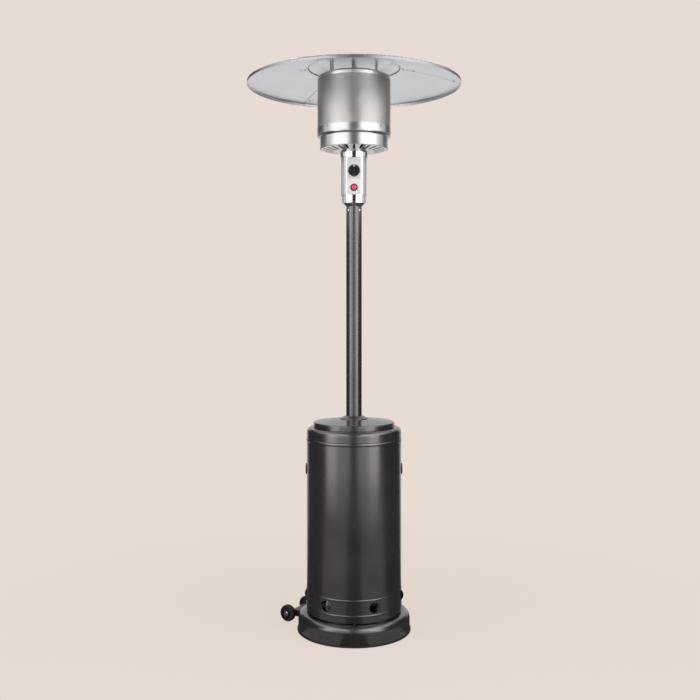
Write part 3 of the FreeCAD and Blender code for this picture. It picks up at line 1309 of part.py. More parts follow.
def make_neck():
    low = COVER_TOP + JOINT_GAP
    turned("head_neck_ring", [
        (NECK_OPENING, low),
        (NECK_RADIUS, low),
        (NECK_RADIUS, NECK_TOP),
        (NECK_RADIUS - SKIN, NECK_TOP),
        (NECK_RADIUS - SKIN, low + SKIN),
        (NECK_OPENING, low + SKIN),
    ])


make_head_cone()
make_lower_shell()
make_cover()
make_panel()
make_neck()

# Knob, valve and igniter. Heights in these profiles count outwards from the panel's face.
NOSE_FACE = VALVE_FRONT + VALVE_NOSE_RISE
STEM_END = KNOB_GAP + STEM_IN_KNOB - STEM_LENGTH


def make_knob():
    back = KNOB_GAP
    face = KNOB_GAP + KNOB_DISC
    bore = STEM_RADIUS + STEM_FIT
    bore_end = back + STEM_IN_KNOB + JOINT_GAP
    body = front_piece("control_knob", [
        (bore, back),
        (KNOB_RADIUS - KNOB_CHAMFER, back),
        (KNOB_RADIUS, back + KNOB_CHAMFER),
        (KNOB_RADIUS, face - KNOB_ROUND, KNOB_ROUND, 1),
        (KNOB_RADIUS - KNOB_ROUND, face),
        (0, face),
        (0, bore_end),
        (bore, bore_end),
    ], KNOB_HEIGHT)
    grip = level_sketch(body, face - KNOB_CHAMFER)
    side = KNOB_GRIP_WIDTH / 2
    end = KNOB_GRIP_LENGTH / 2
    outline(grip, [
        (side, -end + side),
        (side, end - side, HALF_TURN, 1),
        (-side, end - side),
        (-side, -end + side, HALF_TURN, 1),
    ])
    pad = padded(body, grip, KNOB_GRIP_RISE + KNOB_CHAMFER)
    pad.setExpression("TaperAngle", (-KNOB_DRAFT).text)
    body.Tip = pad


def make_stem():
    top = KNOB_GAP + STEM_IN_KNOB
    front_piece("valve_stem", [
        (0, STEM_END),
        (STEM_RADIUS - END_CHAMFER, STEM_END),
        (STEM_RADIUS, STEM_END + END_CHAMFER),
        (STEM_RADIUS, top),
        (0, top),
    ], KNOB_HEIGHT)
    front = PANEL_BACK - PANEL_FACE - BODY_GAP
    front_piece("stem_collar", [
        (STEM_RADIUS + RUNNING_GAP, front - STEM_COLLAR_SHEET),
        (STEM_COLLAR_RADIUS, front - STEM_COLLAR_SHEET),
        (STEM_COLLAR_RADIUS, front),
        (STEM_RADIUS + RUNNING_GAP, front),
    ], KNOB_HEIGHT)


def solid_box(name, x, y, z, corner):
    """A box with its sizes and its low corner bound to the sheet."""
    box = doc.addObject("Part::Box", name)
    for side, value in (("Length", x), ("Width", y), ("Height", z)):
        box.setExpression(side, as_size(value).text)
    box.setExpression("Placement", placed(*corner))
    return box


def solid_rod(name, radius, length, foot, turn=None, axis="0; 0; 1"):
    """A cylinder with its sizes and the centre of its foot bound to the sheet."""
    rod = doc.addObject("Part::Cylinder", name)
    rod.setExpression("Radius", as_size(radius).text)
    rod.setExpression("Height", as_size(length).text)
    rod.setExpression("Placement", placed(foot[0], foot[1], foot[2], turn, axis))
    return rod


def fused(name, shapes):
    fusion = doc.addObject("Part::MultiFuse", name)
    fusion.Shapes = shapes
    return fusion


def cut_away(name, solid, tool):
    difference = doc.addObject("Part::Cut", name)
    difference.Base = solid
    difference.Tool = tool
    return difference


def make_valve():
    block = solid_box("ValveBlock", VALVE_WIDTH, VALVE_FRONT + VALVE_BACK, VALVE_TOP - VALVE_LOW,
                      (VALVE_WIDTH / -2, -VALVE_FRONT, VALVE_LOW))
    nose = solid_rod("ValveNose", VALVE_NOSE_RADIUS, VALVE_NOSE_RISE + PAST,
                     (0, -VALVE_FRONT + PAST, KNOB_HEIGHT), 90, "1; 0; 0")
    boss = solid_rod("ValveBoss", VALVE_BOSS_RADIUS, VALVE_BOSS_RISE + PAST,
                     (0, 0, VALVE_LOW - VALVE_BOSS_RISE))
    stem_hole = solid_rod("ValveStemHole", STEM_RADIUS + RUNNING_GAP, NOSE_FACE - STEM_BORE_END + PAST,
                          (0, -STEM_BORE_END, KNOB_HEIGHT), 90, "1; 0; 0")
    keep(cut_away("Valve", fused("ValveBlank", [block, nose, boss]), stem_hole), "gas_valve")


def make_jet():
    turned("gas_jet", [
        (0, VALVE_TOP),
        (JET_RADIUS, VALVE_TOP),
        (JET_RADIUS, JET_TOP - JET_TIP_RISE),
        (JET_TIP_RADIUS, JET_TOP - JET_TIP_RISE + JET_TAPER),
        (JET_TIP_RADIUS, JET_TOP),
        (0, JET_TOP),
    ])


def make_valve_bracket():
    low = SHELL_LOW + STAINLESS
    plate = solid_box("BracketPlate", BRACKET_WIDTH, VALVE_BRACKET_SHEET, BRACKET_HIGH - low,
                      (BRACKET_WIDTH / -2, VALVE_BACK, low))
    foot = solid_box("BracketFoot", BRACKET_WIDTH, BRACKET_FOOT, VALVE_BRACKET_SHEET,
                     (BRACKET_WIDTH / -2, VALVE_BACK, low))
    keep(fused("ValveBracket", [plate, foot]), "valve_bracket")
    switch = solid_box("TiltSwitch", SWITCH_WIDTH, SWITCH_DEPTH, SWITCH_RISE,
                       (SWITCH_WIDTH / -2, VALVE_BACK + VALVE_BRACKET_SHEET, SWITCH_LOW))
    keep(switch, "tilt_switch")


def make_igniter():
    bore = BUTTON_RADIUS + BUTTON_GAP
    crown = (BUTTON_RADIUS * BUTTON_RADIUS + BUTTON_CROWN * BUTTON_CROWN) / (BUTTON_CROWN * 2)
    front_piece("igniter_bezel", [
        (bore, -BEZEL_NECK_LENGTH),
        (BEZEL_NECK, -BEZEL_NECK_LENGTH),
        (BEZEL_NECK, SEAT_GAP),
        (BEZEL_RADIUS, SEAT_GAP),
        (BEZEL_RADIUS, BEZEL_RISE - BEZEL_CHAMFER),
        (BEZEL_RADIUS - BEZEL_CHAMFER, BEZEL_RISE),
        (bore, BEZEL_RISE),
    ], IGNITER_HEIGHT)
    front_piece("igniter_button", [
        (0, -BUTTON_DEPTH),
        (BUTTON_RADIUS, -BUTTON_DEPTH),
        (BUTTON_RADIUS, BUTTON_RISE - BUTTON_CROWN, crown, 1),
        (0, BUTTON_RISE),
    ], IGNITER_HEIGHT)
    low = -BEZEL_NECK_LENGTH - JOINT_GAP
    front_piece("igniter_body", [
        (bore, low),
        (IGNITER_RADIUS, low),
        (IGNITER_RADIUS, -IGNITER_END),
        (0, -IGNITER_END),
        (0, -IGNITER_CUP),
        (bore, -IGNITER_CUP),
    ], IGNITER_HEIGHT)


make_knob()
make_stem()
make_valve()
make_jet()
make_valve_bracket()
make_igniter()

# Burner
BAND_INNER = BAND_RADIUS - STAINLESS
BAND_TURN_IN = BAND_RADIUS - BAND_ROLL
BAND_FLOOR = DRUM_TOP + STAINLESS
SCREEN_TOP = CROWN_RIM - CROWN_ROUND


def make_dish():
    """The dished bottom plate with its ring of radial slots."""
    rim = DISH_RIM_HEIGHT - SKIN
    dish = turned("burner_dish", [
        (DISH_OPENING, NECK_TOP),
        (DISH_FLAT, NECK_TOP),
        (DISH_RIM - DISH_EDGE, rim),
        (DISH_RIM, rim),
        (DISH_RIM, DISH_RIM_HEIGHT),
        (DISH_RIM - DISH_EDGE - DISH_INSET, DISH_RIM_HEIGHT),
        (DISH_FLAT - DISH_INSET, NECK_TOP + SKIN),
        (DISH_OPENING, NECK_TOP + SKIN),
    ])
    sketch = level_sketch(dish, NECK_TOP)
    side = SLOT_WIDTH / 2
    outline(sketch, [
        (SLOT_INNER + side, -side),
        (SLOT_OUTER - side, -side, HALF_TURN, 1),
        (SLOT_OUTER - side, side),
        (SLOT_INNER + side, side, HALF_TURN, 1),
    ])
    slot = cut_through(dish, sketch, backwards=True)
    repeated(dish, [slot], SLOT_COUNT)


def make_drum():
    inner = DRUM_RADIUS - STAINLESS
    turned("lower_drum", [
        (DRUM_RADIUS - DRUM_LIP, DISH_RIM_HEIGHT),
        (DRUM_RADIUS, DISH_RIM_HEIGHT),
        (DRUM_RADIUS, DRUM_TOP),
        (DRUM_RADIUS - DRUM_LIP, DRUM_TOP),
        (DRUM_RADIUS - DRUM_LIP, DRUM_TOP - STAINLESS),
        (inner, DRUM_TOP - STAINLESS),
        (inner, DISH_RIM_HEIGHT + STAINLESS),
        (DRUM_RADIUS - DRUM_LIP, DISH_RIM_HEIGHT + STAINLESS),
    ])


def screen_holes(body):
    """Four screw holes near the foot of the band or of the screen."""
    steps = [(SCREEN_RADIUS - PAST, TOP_SCREW_RADIUS), (BAND_RADIUS + PAST, TOP_SCREW_RADIUS)]
    hole = radial_pin(body, BAND_SCREW_HEIGHT, steps, QUARTER_TURN, "Groove")
    repeated(body, [hole], BAND_SCREWS)


def make_band():
    band = turned("emitter_band", [
        (BAND_OPENING, DRUM_TOP),
        (BAND_TURN_IN, DRUM_TOP, BAND_ROLL, 1),
        (BAND_RADIUS, DRUM_TOP + BAND_ROLL),
        (BAND_RADIUS, BAND_TOP),
        (BAND_INNER, BAND_TOP),
        (BAND_INNER, DRUM_TOP + BAND_ROLL, BAND_ROLL - STAINLESS, -1),
        (BAND_TURN_IN, BAND_FLOOR),
        (BAND_OPENING, BAND_FLOOR),
    ])
    screen_holes(band)
    screws = new_body("band_screws")
    radius = TOP_SCREW_RADIUS - JOINT_GAP
    screw = radial_pin(screws, BAND_SCREW_HEIGHT, [
        (SCREEN_RADIUS - BAND_SCREW_END, radius),
        (BAND_RADIUS, radius),
        (BAND_RADIUS, BAND_SCREW_HEAD),
        (BAND_RADIUS + BAND_SCREW_RISE - BAND_SCREW_ROUND, BAND_SCREW_HEAD),
        (BAND_RADIUS + BAND_SCREW_RISE, BAND_SCREW_HEAD - BAND_SCREW_ROUND),
    ], QUARTER_TURN)
    repeated(screws, [screw], BAND_SCREWS)


def make_screen():
    screen = turned("emitter_screen", [
        (SCREEN_RADIUS - SCREEN_SHEET, SCREEN_LOW),
        (SCREEN_RADIUS, SCREEN_LOW),
        (SCREEN_RADIUS, SCREEN_TOP),
        (SCREEN_RADIUS - SCREEN_SHEET, SCREEN_TOP),
    ])
    screen_holes(screen)


def post_holes(body, level, turn):
    """The holes for the studs of the reflector's posts."""
    steps = [(level - PAST, POSTS_STUD + CLEARANCE), (level + PAST, POSTS_STUD + CLEARANCE)]
    hole = upright_pin(body, POSTS_CIRCLE, steps, turn, "Groove")
    repeated(body, [hole], POSTS_COUNT)


def make_crown():
    """The cap over the emitter: a rounded rim and a raised middle that carries the posts."""
    inner_round = CROWN_ROUND - STAINLESS
    crest = CROWN_STEP - CROWN_RUN
    crown = turned("emitter_crown", [
        (CROWN_RADIUS - STAINLESS, CROWN_LOW),
        (CROWN_RADIUS, CROWN_LOW),
        (CROWN_RADIUS, CROWN_RIM - CROWN_ROUND, CROWN_ROUND, 1),
        (CROWN_RADIUS - CROWN_ROUND, CROWN_RIM),
        (CROWN_STEP, CROWN_RIM),
        (crest, CROWN_TOP),
        (0, CROWN_TOP),
        (0, CROWN_TOP - STAINLESS),
        (crest - STAINLESS, CROWN_TOP - STAINLESS),
        (CROWN_STEP - STAINLESS, CROWN_RIM - STAINLESS),
        (CROWN_RADIUS - CROWN_ROUND, CROWN_RIM - STAINLESS, inner_round, -1),
        (CROWN_RADIUS - STAINLESS, CROWN_RIM - CROWN_ROUND),
    ])
    post_holes(crown, CROWN_TOP, POSTS_TURN)


def make_burner_head():
    top = BAND_FLOOR + BURNER_RISE
    turned("burner_head", [
        (VENTURI_RADIUS + CLEARANCE, BAND_FLOOR),
        (BURNER_RADIUS, BAND_FLOOR),
        (BURNER_RADIUS, top - BURNER_CHAMFER),
        (BURNER_RADIUS - BURNER_CHAMFER, top),
        (0, top),
        (0, top - SKIN),
        (BURNER_RADIUS - BURNER_CHAMFER, top - SKIN),
        (BURNER_RADIUS - SKIN, top - BURNER_CHAMFER),
        (BURNER_RADIUS - SKIN, BAND_FLOOR + SKIN),
        (VENTURI_RADIUS + CLEARANCE, BAND_FLOOR + SKIN),
    ])
    flare_top = VENTURI_LOW + VENTURI_FLARE_RISE
    tube_top = BAND_FLOOR + VENTURI_REACH
    turned("venturi_tube", [
        (VENTURI_FLARE - VENTURI_WALL, VENTURI_LOW),
        (VENTURI_FLARE, VENTURI_LOW),
        (VENTURI_RADIUS, flare_top),
        (VENTURI_RADIUS, tube_top),
        (VENTURI_RADIUS - VENTURI_WALL, tube_top),
        (VENTURI_RADIUS - VENTURI_WALL, flare_top),
    ])


def make_pilot_set():
    low = BAND_FLOOR
    pilot = new_body("pilot_burner")
    upright_pin(pilot, PILOT_CIRCLE, [
        (low, PILOT_RADIUS),
        (low + PILOT_RISE - PILOT_HOOD_RISE - PILOT_HOOD + PILOT_RADIUS, PILOT_RADIUS),
        (low + PILOT_RISE - PILOT_HOOD_RISE, PILOT_HOOD),
        (low + PILOT_RISE, PILOT_HOOD),
    ], PILOT_TURN)
    probe = new_body("thermocouple")
    upright_pin(probe, PILOT_CIRCLE, [
        (low, PROBE_RADIUS),
        (low + PROBE_RISE - PROBE_RADIUS, PROBE_RADIUS),
        (low + PROBE_RISE, PROBE_RADIUS / 2),
    ], PILOT_TURN + PILOT_STEP)
    electrode = new_body("spark_electrode")
    upright_pin(electrode, PILOT_CIRCLE, [
        (low, ELECTRODE_RADIUS),
        (low + ELECTRODE_RISE, ELECTRODE_RADIUS),
        (low + ELECTRODE_RISE, SPARK_RADIUS),
        (low + ELECTRODE_RISE + SPARK_RISE, SPARK_RADIUS),
    ], PILOT_TURN - PILOT_STEP)


make_dish()
make_drum()
make_band()
make_screen()
make_crown()
make_burner_head()
make_pilot_set()

# Reflector. Its panels are parts of one large sphere, whose centre is on the post's axis.
REFLECTOR_APEX = CROWN_TOP + REFLECTOR_RISE
HAT_HEIGHT = REFLECTOR_APEX + HAT_RISE
LAP_OUTER = REFLECTOR_RADIUS - LAP_MARGIN
SEAM_SCREW_OUTER = REFLECTOR_RADIUS - SEAM_SCREW_MARGIN
PANEL_TURN = 360 / THIRDS - PANEL_SEAM
SPHERE_CENTRE = REFLECTOR_APEX - REFLECTOR_SPHERE
UNDER_SPHERE = REFLECTOR_SPHERE - STAINLESS
LAP_SPHERE = REFLECTOR_SPHERE + JOINT_GAP
LAP_TOP_SPHERE = LAP_SPHERE + STAINLESS


def dome(distance, sphere):
    """The height of a sphere of the reflector at a distance from the axis."""
    return SPHERE_CENTRE + leg(sphere, distance)


def shell_corners(inner, outer, under, over):
    """A piece of dome between two distances and two spheres."""
    return [
        (inner, dome(inner, over), over, -1),
        (outer, dome(outer, over)),
        (outer, dome(outer, under), under, 1),
        (inner, dome(inner, under)),
    ]


def dome_pin(body, distance, steps, kind="Revolution"):
    """A round pin or hole square to the dome. Steps are (distance from the sphere's centre, radius)."""
    tilt = arc_sine(distance / REFLECTOR_SPHERE)
    centre = f"vector(0; {SPHERE_CENTRE.text}; 0)"
    sketch = new_sketch(body, "XZ_Plane", f"placement({centre}; rotation(vector(0; 0; 1); 0 - {tilt.text}))")
    low = steps[0][0]
    high = steps[-1][0]
    outline(sketch, [(0, low)] + [(radius, height) for height, radius in steps] + [(0, high)])
    return revolved(body, sketch, "V_Axis", 360, kind)


def sheet_hole(body, distance):
    radius = SHEET_SCREW_RADIUS + CLEARANCE
    steps = [(UNDER_SPHERE - PAST, radius), (LAP_TOP_SPHERE + PAST, radius)]
    return dome_pin(body, distance, steps, "Groove")


def make_panel_third(number):
    """One third of the reflector, with a joggled edge that laps over the next third."""
    body = new_body(f"reflector_panel_{number + 1}", REFLECTOR_TURN + 360 / THIRDS * number)
    sheet_sketch = profile_sketch(body, -PANEL_START)
    bend = REFLECTOR_RADIUS - REFLECTOR_BEND
    edge = dome(bend, REFLECTOR_SPHERE)
    low = edge - REFLECTOR_LIP
    inner = REFLECTOR_RADIUS - STAINLESS
    hem = REFLECTOR_RADIUS - STAINLESS * 2
    outline(sheet_sketch, [
        (REFLECTOR_INNER, dome(REFLECTOR_INNER, REFLECTOR_SPHERE), REFLECTOR_SPHERE, -1),
        (bend, edge, REFLECTOR_BEND, -1),
        (REFLECTOR_RADIUS, edge - REFLECTOR_BEND),
        (REFLECTOR_RADIUS, low),
        (hem, low),
        (hem, low + REFLECTOR_HEM),
        (inner, low + REFLECTOR_HEM),
        (inner, edge - REFLECTOR_BEND, REFLECTOR_BEND - STAINLESS, 1),
        (bend, dome(bend, UNDER_SPHERE), UNDER_SPHERE, 1),
        (REFLECTOR_INNER, dome(REFLECTOR_INNER, UNDER_SPHERE)),
    ])
    revolved(body, sheet_sketch, turn=PANEL_TURN)
    end = PANEL_TURN - PANEL_START
    riser = profile_sketch(body, end - LAP_STEP)
    outline(riser, shell_corners(LAP_INNER, LAP_OUTER, UNDER_SPHERE, LAP_TOP_SPHERE))
    revolved(body, riser, turn=LAP_STEP)
    strip = profile_sketch(body, end - LAP_STEP)
    outline(strip, shell_corners(LAP_INNER, LAP_OUTER, LAP_SPHERE, LAP_TOP_SPHERE))
    revolved(body, strip, turn=LAP_STEP + LAP_TURN)
    seams = [sheet_hole(body, distance) for distance in (SEAM_SCREW_OUTER, SEAM_SCREW_INNER)]
    repeated(body, seams, 2, 360 / THIRDS)
    hat_hole = sheet_hole(body, HAT_SCREW_CIRCLE)
    repeated(body, [hat_hole], 2, 180 / THIRDS)


def make_hat():
    """The raised centre plate, whose flange lies on the panels."""
    foot_low = dome(HAT_FOOT, LAP_SPHERE)
    foot_high = dome(HAT_FOOT, LAP_TOP_SPHERE)
    hat = turned("reflector_hat", [
        (HAT_FLANGE, dome(HAT_FLANGE, LAP_SPHERE)),
        (HAT_FLANGE, dome(HAT_FLANGE, LAP_TOP_SPHERE), LAP_TOP_SPHERE, 1),
        (HAT_FOOT, foot_high),
        (HAT_CEILING, HAT_HEIGHT + STAINLESS),
        (0, HAT_HEIGHT + STAINLESS),
        (0, HAT_HEIGHT),
        (HAT_CEILING - HAT_INSET, HAT_HEIGHT),
        (HAT_FOOT - HAT_INSET, foot_low, LAP_SPHERE, -1),
    ], REFLECTOR_TURN)
    hole = sheet_hole(hat, HAT_SCREW_CIRCLE)
    repeated(hat, [hole], THIRDS * 2)
    post_holes(hat, HAT_HEIGHT, POSTS_TURN - REFLECTOR_TURN)


def screw_steps(high):
    """The outline of a sheet screw with its head below the reflector and its nut above."""
    seat = UNDER_SPHERE - SEAT_GAP
    return [(seat - SHEET_SCREW_RISE, SHEET_SCREW_HEAD / 2), (seat - SHEET_SCREW_RISE / 2, SHEET_SCREW_HEAD),
            (seat, SHEET_SCREW_HEAD), (seat, SHEET_SCREW_RADIUS),
            (high, SHEET_SCREW_RADIUS), (high, SHEET_SCREW_HEAD), (high + SHEET_NUT_RISE, SHEET_SCREW_HEAD)]


def make_reflector_screws():
    """Two screws in each seam and six in the hat's flange."""
    body = new_body("reflector_screws", REFLECTOR_TURN)
    seams = [dome_pin(body, distance, screw_steps(LAP_TOP_SPHERE))
             for distance in (SEAM_SCREW_OUTER, SEAM_SCREW_INNER)]
    repeated(body, seams, THIRDS)
    screw = dome_pin(body, HAT_SCREW_CIRCLE, screw_steps(LAP_TOP_SPHERE))
    repeated(body, [screw], THIRDS * 2)


def make_reflector_posts():
    """Six spacers with a nut under the emitter's crown and another on top of the hat."""
    posts = new_body("reflector_posts")
    under = CROWN_TOP - STAINLESS
    over = HAT_HEIGHT + STAINLESS
    post = upright_pin(posts, POSTS_CIRCLE, [
        (under - ACORN_RISE / 2, ACORN_RADIUS),
        (under, ACORN_RADIUS),
        (under, POSTS_STUD),
        (CROWN_TOP, POSTS_STUD),
        (CROWN_TOP, POSTS_RADIUS),
        (HAT_HEIGHT, POSTS_RADIUS),
        (HAT_HEIGHT, POSTS_STUD),
        (over, POSTS_STUD),
        (over, ACORN_RADIUS),
        (over + ACORN_RISE / 2, ACORN_RADIUS),
        (over + ACORN_RISE, ACORN_RADIUS / 3),
    ], POSTS_TURN)
    repeated(posts, [post], POSTS_COUNT)


def make_top_cap():
    """A low domed cap, whose flange lies on the hat."""
    low = HAT_HEIGHT + STAINLESS
    inner = TOPCAP_RADIUS - STAINLESS
    dome_foot = TOPCAP_RADIUS - TOPCAP_ROUND
    shoulder = low + STAINLESS + TOPCAP_WALL
    high = shoulder + TOPCAP_ROUND
    crest = high + TOPCAP_RISE
    sphere = (dome_foot * dome_foot + TOPCAP_RISE * TOPCAP_RISE) / (TOPCAP_RISE * 2)
    turned("top_cap", [
        (inner, low),
        (TOPCAP_FLANGE, low),
        (TOPCAP_FLANGE, low + STAINLESS),
        (TOPCAP_RADIUS, low + STAINLESS),
        (TOPCAP_RADIUS, shoulder, TOPCAP_ROUND, 1),
        (dome_foot, high, sphere, 1),
        (0, crest),
        (0, crest - STAINLESS, sphere, -1),
        (dome_foot, high - STAINLESS, TOPCAP_ROUND - STAINLESS, -1),
        (inner, shoulder),
    ])


for third in range(THIRDS):
    make_panel_third(third)
make_hat()
make_reflector_screws()
make_reflector_posts()
make_top_cap()

doc.recompute()
for thing in doc.Objects:
    if "Invalid" in thing.State or "Error" in thing.State:
        raise RuntimeError(f"{thing.Label} failed: {thing.State}")
for piece in pieces:
    if piece.Shape.isNull() or not piece.Shape.isValid() or not piece.Shape.Solids:
        raise RuntimeError(f"{piece.Label} has no valid solid")

os.makedirs("parts", exist_ok=True)
for piece in pieces:
    piece.Shape.exportStep(f"parts/{piece.Label}.step")
print(len(pieces), "pieces written")
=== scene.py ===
import json
from math import atan2, ceil, cos, degrees, pi, radians, sin, sqrt, tan

import bpy
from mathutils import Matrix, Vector


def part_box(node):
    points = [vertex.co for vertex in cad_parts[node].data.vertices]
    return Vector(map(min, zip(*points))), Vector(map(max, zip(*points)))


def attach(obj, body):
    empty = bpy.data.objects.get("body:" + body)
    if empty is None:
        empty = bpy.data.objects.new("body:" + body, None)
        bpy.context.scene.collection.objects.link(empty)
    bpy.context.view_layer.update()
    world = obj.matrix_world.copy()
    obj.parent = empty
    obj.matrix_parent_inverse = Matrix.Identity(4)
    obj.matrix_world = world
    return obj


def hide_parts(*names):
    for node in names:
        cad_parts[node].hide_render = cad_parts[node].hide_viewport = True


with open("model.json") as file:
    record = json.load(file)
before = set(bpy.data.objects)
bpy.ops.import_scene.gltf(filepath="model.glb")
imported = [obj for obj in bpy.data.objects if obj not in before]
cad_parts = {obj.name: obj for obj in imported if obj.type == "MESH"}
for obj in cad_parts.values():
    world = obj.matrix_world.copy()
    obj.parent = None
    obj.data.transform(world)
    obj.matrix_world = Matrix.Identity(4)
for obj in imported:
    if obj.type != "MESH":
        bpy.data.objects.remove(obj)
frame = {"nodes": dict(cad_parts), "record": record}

bl_info = {
    "name": "Patio Heater Details",
    "version": (1, 0, 0),
    "blender": (4, 5, 0),
    "location": "View3D > Sidebar > Patio Heater",
    "description": "Perforated screen, small marks, finishes and stage for a patio heater",
    "category": "Add Mesh",
}

MM = 0.001


# Settings

class ScreenSettings(bpy.types.PropertyGroup):
    columns: bpy.props.IntProperty(
        name="Columns",
        description="Number of holes in one row round the screen",
        default=134,
        min=12,
    )
    hole: bpy.props.FloatProperty(
        name="Hole",
        description="Width of one hole across its flats",
        default=2.4 * MM,
        unit="LENGTH",
    )
    thickness: bpy.props.FloatProperty(
        name="Thickness",
        description="Thickness of the screen's sheet",
        default=0.8 * MM,
        unit="LENGTH",
    )


class MarkSettings(bpy.types.PropertyGroup):
    dot_radius: bpy.props.FloatProperty(
        name="Dot radius",
        description="Radius of the dot on the knob",
        default=2.2 * MM,
        unit="LENGTH",
    )
    dot_rise: bpy.props.FloatProperty(
        name="Dot rise",
        description="Height of the dot over the knob's centre",
        default=15.0 * MM,
        unit="LENGTH",
    )
    tick_reach: bpy.props.FloatProperty(
        name="Tick reach",
        description="Distance of the marks from the knob's centre",
        default=31.0 * MM,
        unit="LENGTH",
    )
    tick_angle: bpy.props.FloatProperty(
        name="Tick angle",
        description="Turn of each mark from straight below the knob",
        default=radians(33.0),
        subtype="ANGLE",
    )
    tick_length: bpy.props.FloatProperty(
        name="Tick length",
        description="Length of one mark",
        default=4.5 * MM,
        unit="LENGTH",
    )
    tick_width: bpy.props.FloatProperty(
        name="Tick width",
        description="Width of one mark",
        default=2.2 * MM,
        unit="LENGTH",
    )
    print_depth: bpy.props.FloatProperty(
        name="Print depth",
        description="Thickness of the printed dot and marks, half of it sunk in",
        default=0.3 * MM,
        unit="LENGTH",
    )


class RingSettings(bpy.types.PropertyGroup):
    ring_radius: bpy.props.FloatProperty(
        name="Ring radius",
        description="Radius of a pressed ring round a screw",
        default=21.0 * MM,
        unit="LENGTH",
    )
    ring_tube: bpy.props.FloatProperty(
        name="Ring tube",
        description="Radius of the pressed bead itself",
        default=0.9 * MM,
        unit="LENGTH",
    )
    circle: bpy.props.FloatProperty(
        name="Circle",
        description="Distance of the screws from the heater's axis",
        default=187.0 * MM,
        unit="LENGTH",
    )
    cut: bpy.props.FloatProperty(
        name="Cut",
        description="Distance from the axis at which the rings end",
        default=178.2 * MM,
        unit="LENGTH",
    )
    first_turn: bpy.props.FloatProperty(
        name="First turn",
        description="Turn of the first ring round the axis",
        default=radians(359.0),
        subtype="ANGLE",
    )


class SeamSettings(bpy.types.PropertyGroup):
    width: bpy.props.FloatProperty(
        name="Width",
        description="Width of the seam's fold",
        default=9.0 * MM,
        unit="LENGTH",
    )
    thickness: bpy.props.FloatProperty(
        name="Thickness",
        description="Thickness of the fold, half of it sunk in the wall",
        default=1.6 * MM,
        unit="LENGTH",
    )
    bead: bpy.props.FloatProperty(
        name="Bead",
        description="How far the wall lies behind its beads",
        default=2.0 * MM,
        unit="LENGTH",
    )
    foot: bpy.props.FloatProperty(
        name="Foot",
        description="Height of the seam's lower end over the wall's foot",
        default=14.0 * MM,
        unit="LENGTH",
    )
    head: bpy.props.FloatProperty(
        name="Head",
        description="Gap between the seam's upper end and the top ring",
        default=1.0 * MM,
        unit="LENGTH",
    )


class SlotSettings(bpy.types.PropertyGroup):
    count: bpy.props.IntProperty(
        name="Count",
        description="Number of slots round the dish",
        default=24,
        min=3,
    )
    inner: bpy.props.FloatProperty(
        name="Inner end",
        description="Distance of a slot's inner end from the axis",
        default=78.0 * MM,
        unit="LENGTH",
    )
    outer: bpy.props.FloatProperty(
        name="Outer end",
        description="Distance of a slot's outer end from the axis",
        default=118.5 * MM,
        unit="LENGTH",
    )
    width: bpy.props.FloatProperty(
        name="Width",
        description="Width of a slot",
        default=8.0 * MM,
        unit="LENGTH",
    )
    tall: bpy.props.FloatProperty(
        name="Cutter height",
        description="Height of the solid that cuts a slot",
        default=40.0 * MM,
        unit="LENGTH",
    )


class RecessSettings(bpy.types.PropertyGroup):
    share: bpy.props.FloatProperty(
        name="Share",
        description="Length of the cross as a share of the head's width",
        default=0.56,
    )
    bar: bpy.props.FloatProperty(
        name="Bar",
        description="Width of the cross's bars as a share of their length",
        default=0.24,
    )
    depth: bpy.props.FloatProperty(
        name="Depth",
        description="Depth of the cross",
        default=0.9 * MM,
        unit="LENGTH",
    )


class StageSettings(bpy.types.PropertyGroup):
    background: bpy.props.FloatVectorProperty(
        name="Background",
        description="Colour of the floor and of what lies behind the heater",
        default=(0.807, 0.708, 0.651),
        size=3,
        subtype="COLOR",
    )
    lamp_glow: bpy.props.FloatProperty(
        name="Lamp glow",
        description="Brightness of the low lamp at the left, where 1 is white. The others are shares of it",
        default=1.5,
    )
    world_strength: bpy.props.FloatProperty(
        name="World strength",
        description="Strength of the even light from all round",
        default=0.28,
    )


# Shader trees

class Value:
    """A number that varies over a surface. Arithmetic on it adds Math nodes."""

    def __init__(self, finish, socket):
        self.finish = finish
        self.socket = socket

    def __add__(self, other):
        return self.finish.maths("ADD", self, other)

    def __radd__(self, other):
        return self.finish.maths("ADD", other, self)

    def __sub__(self, other):
        return self.finish.maths("SUBTRACT", self, other)

    def __rsub__(self, other):
        return self.finish.maths("SUBTRACT", other, self)

    def __mul__(self, other):
        return self.finish.maths("MULTIPLY", self, other)

    def __rmul__(self, other):
        return self.finish.maths("MULTIPLY", other, self)


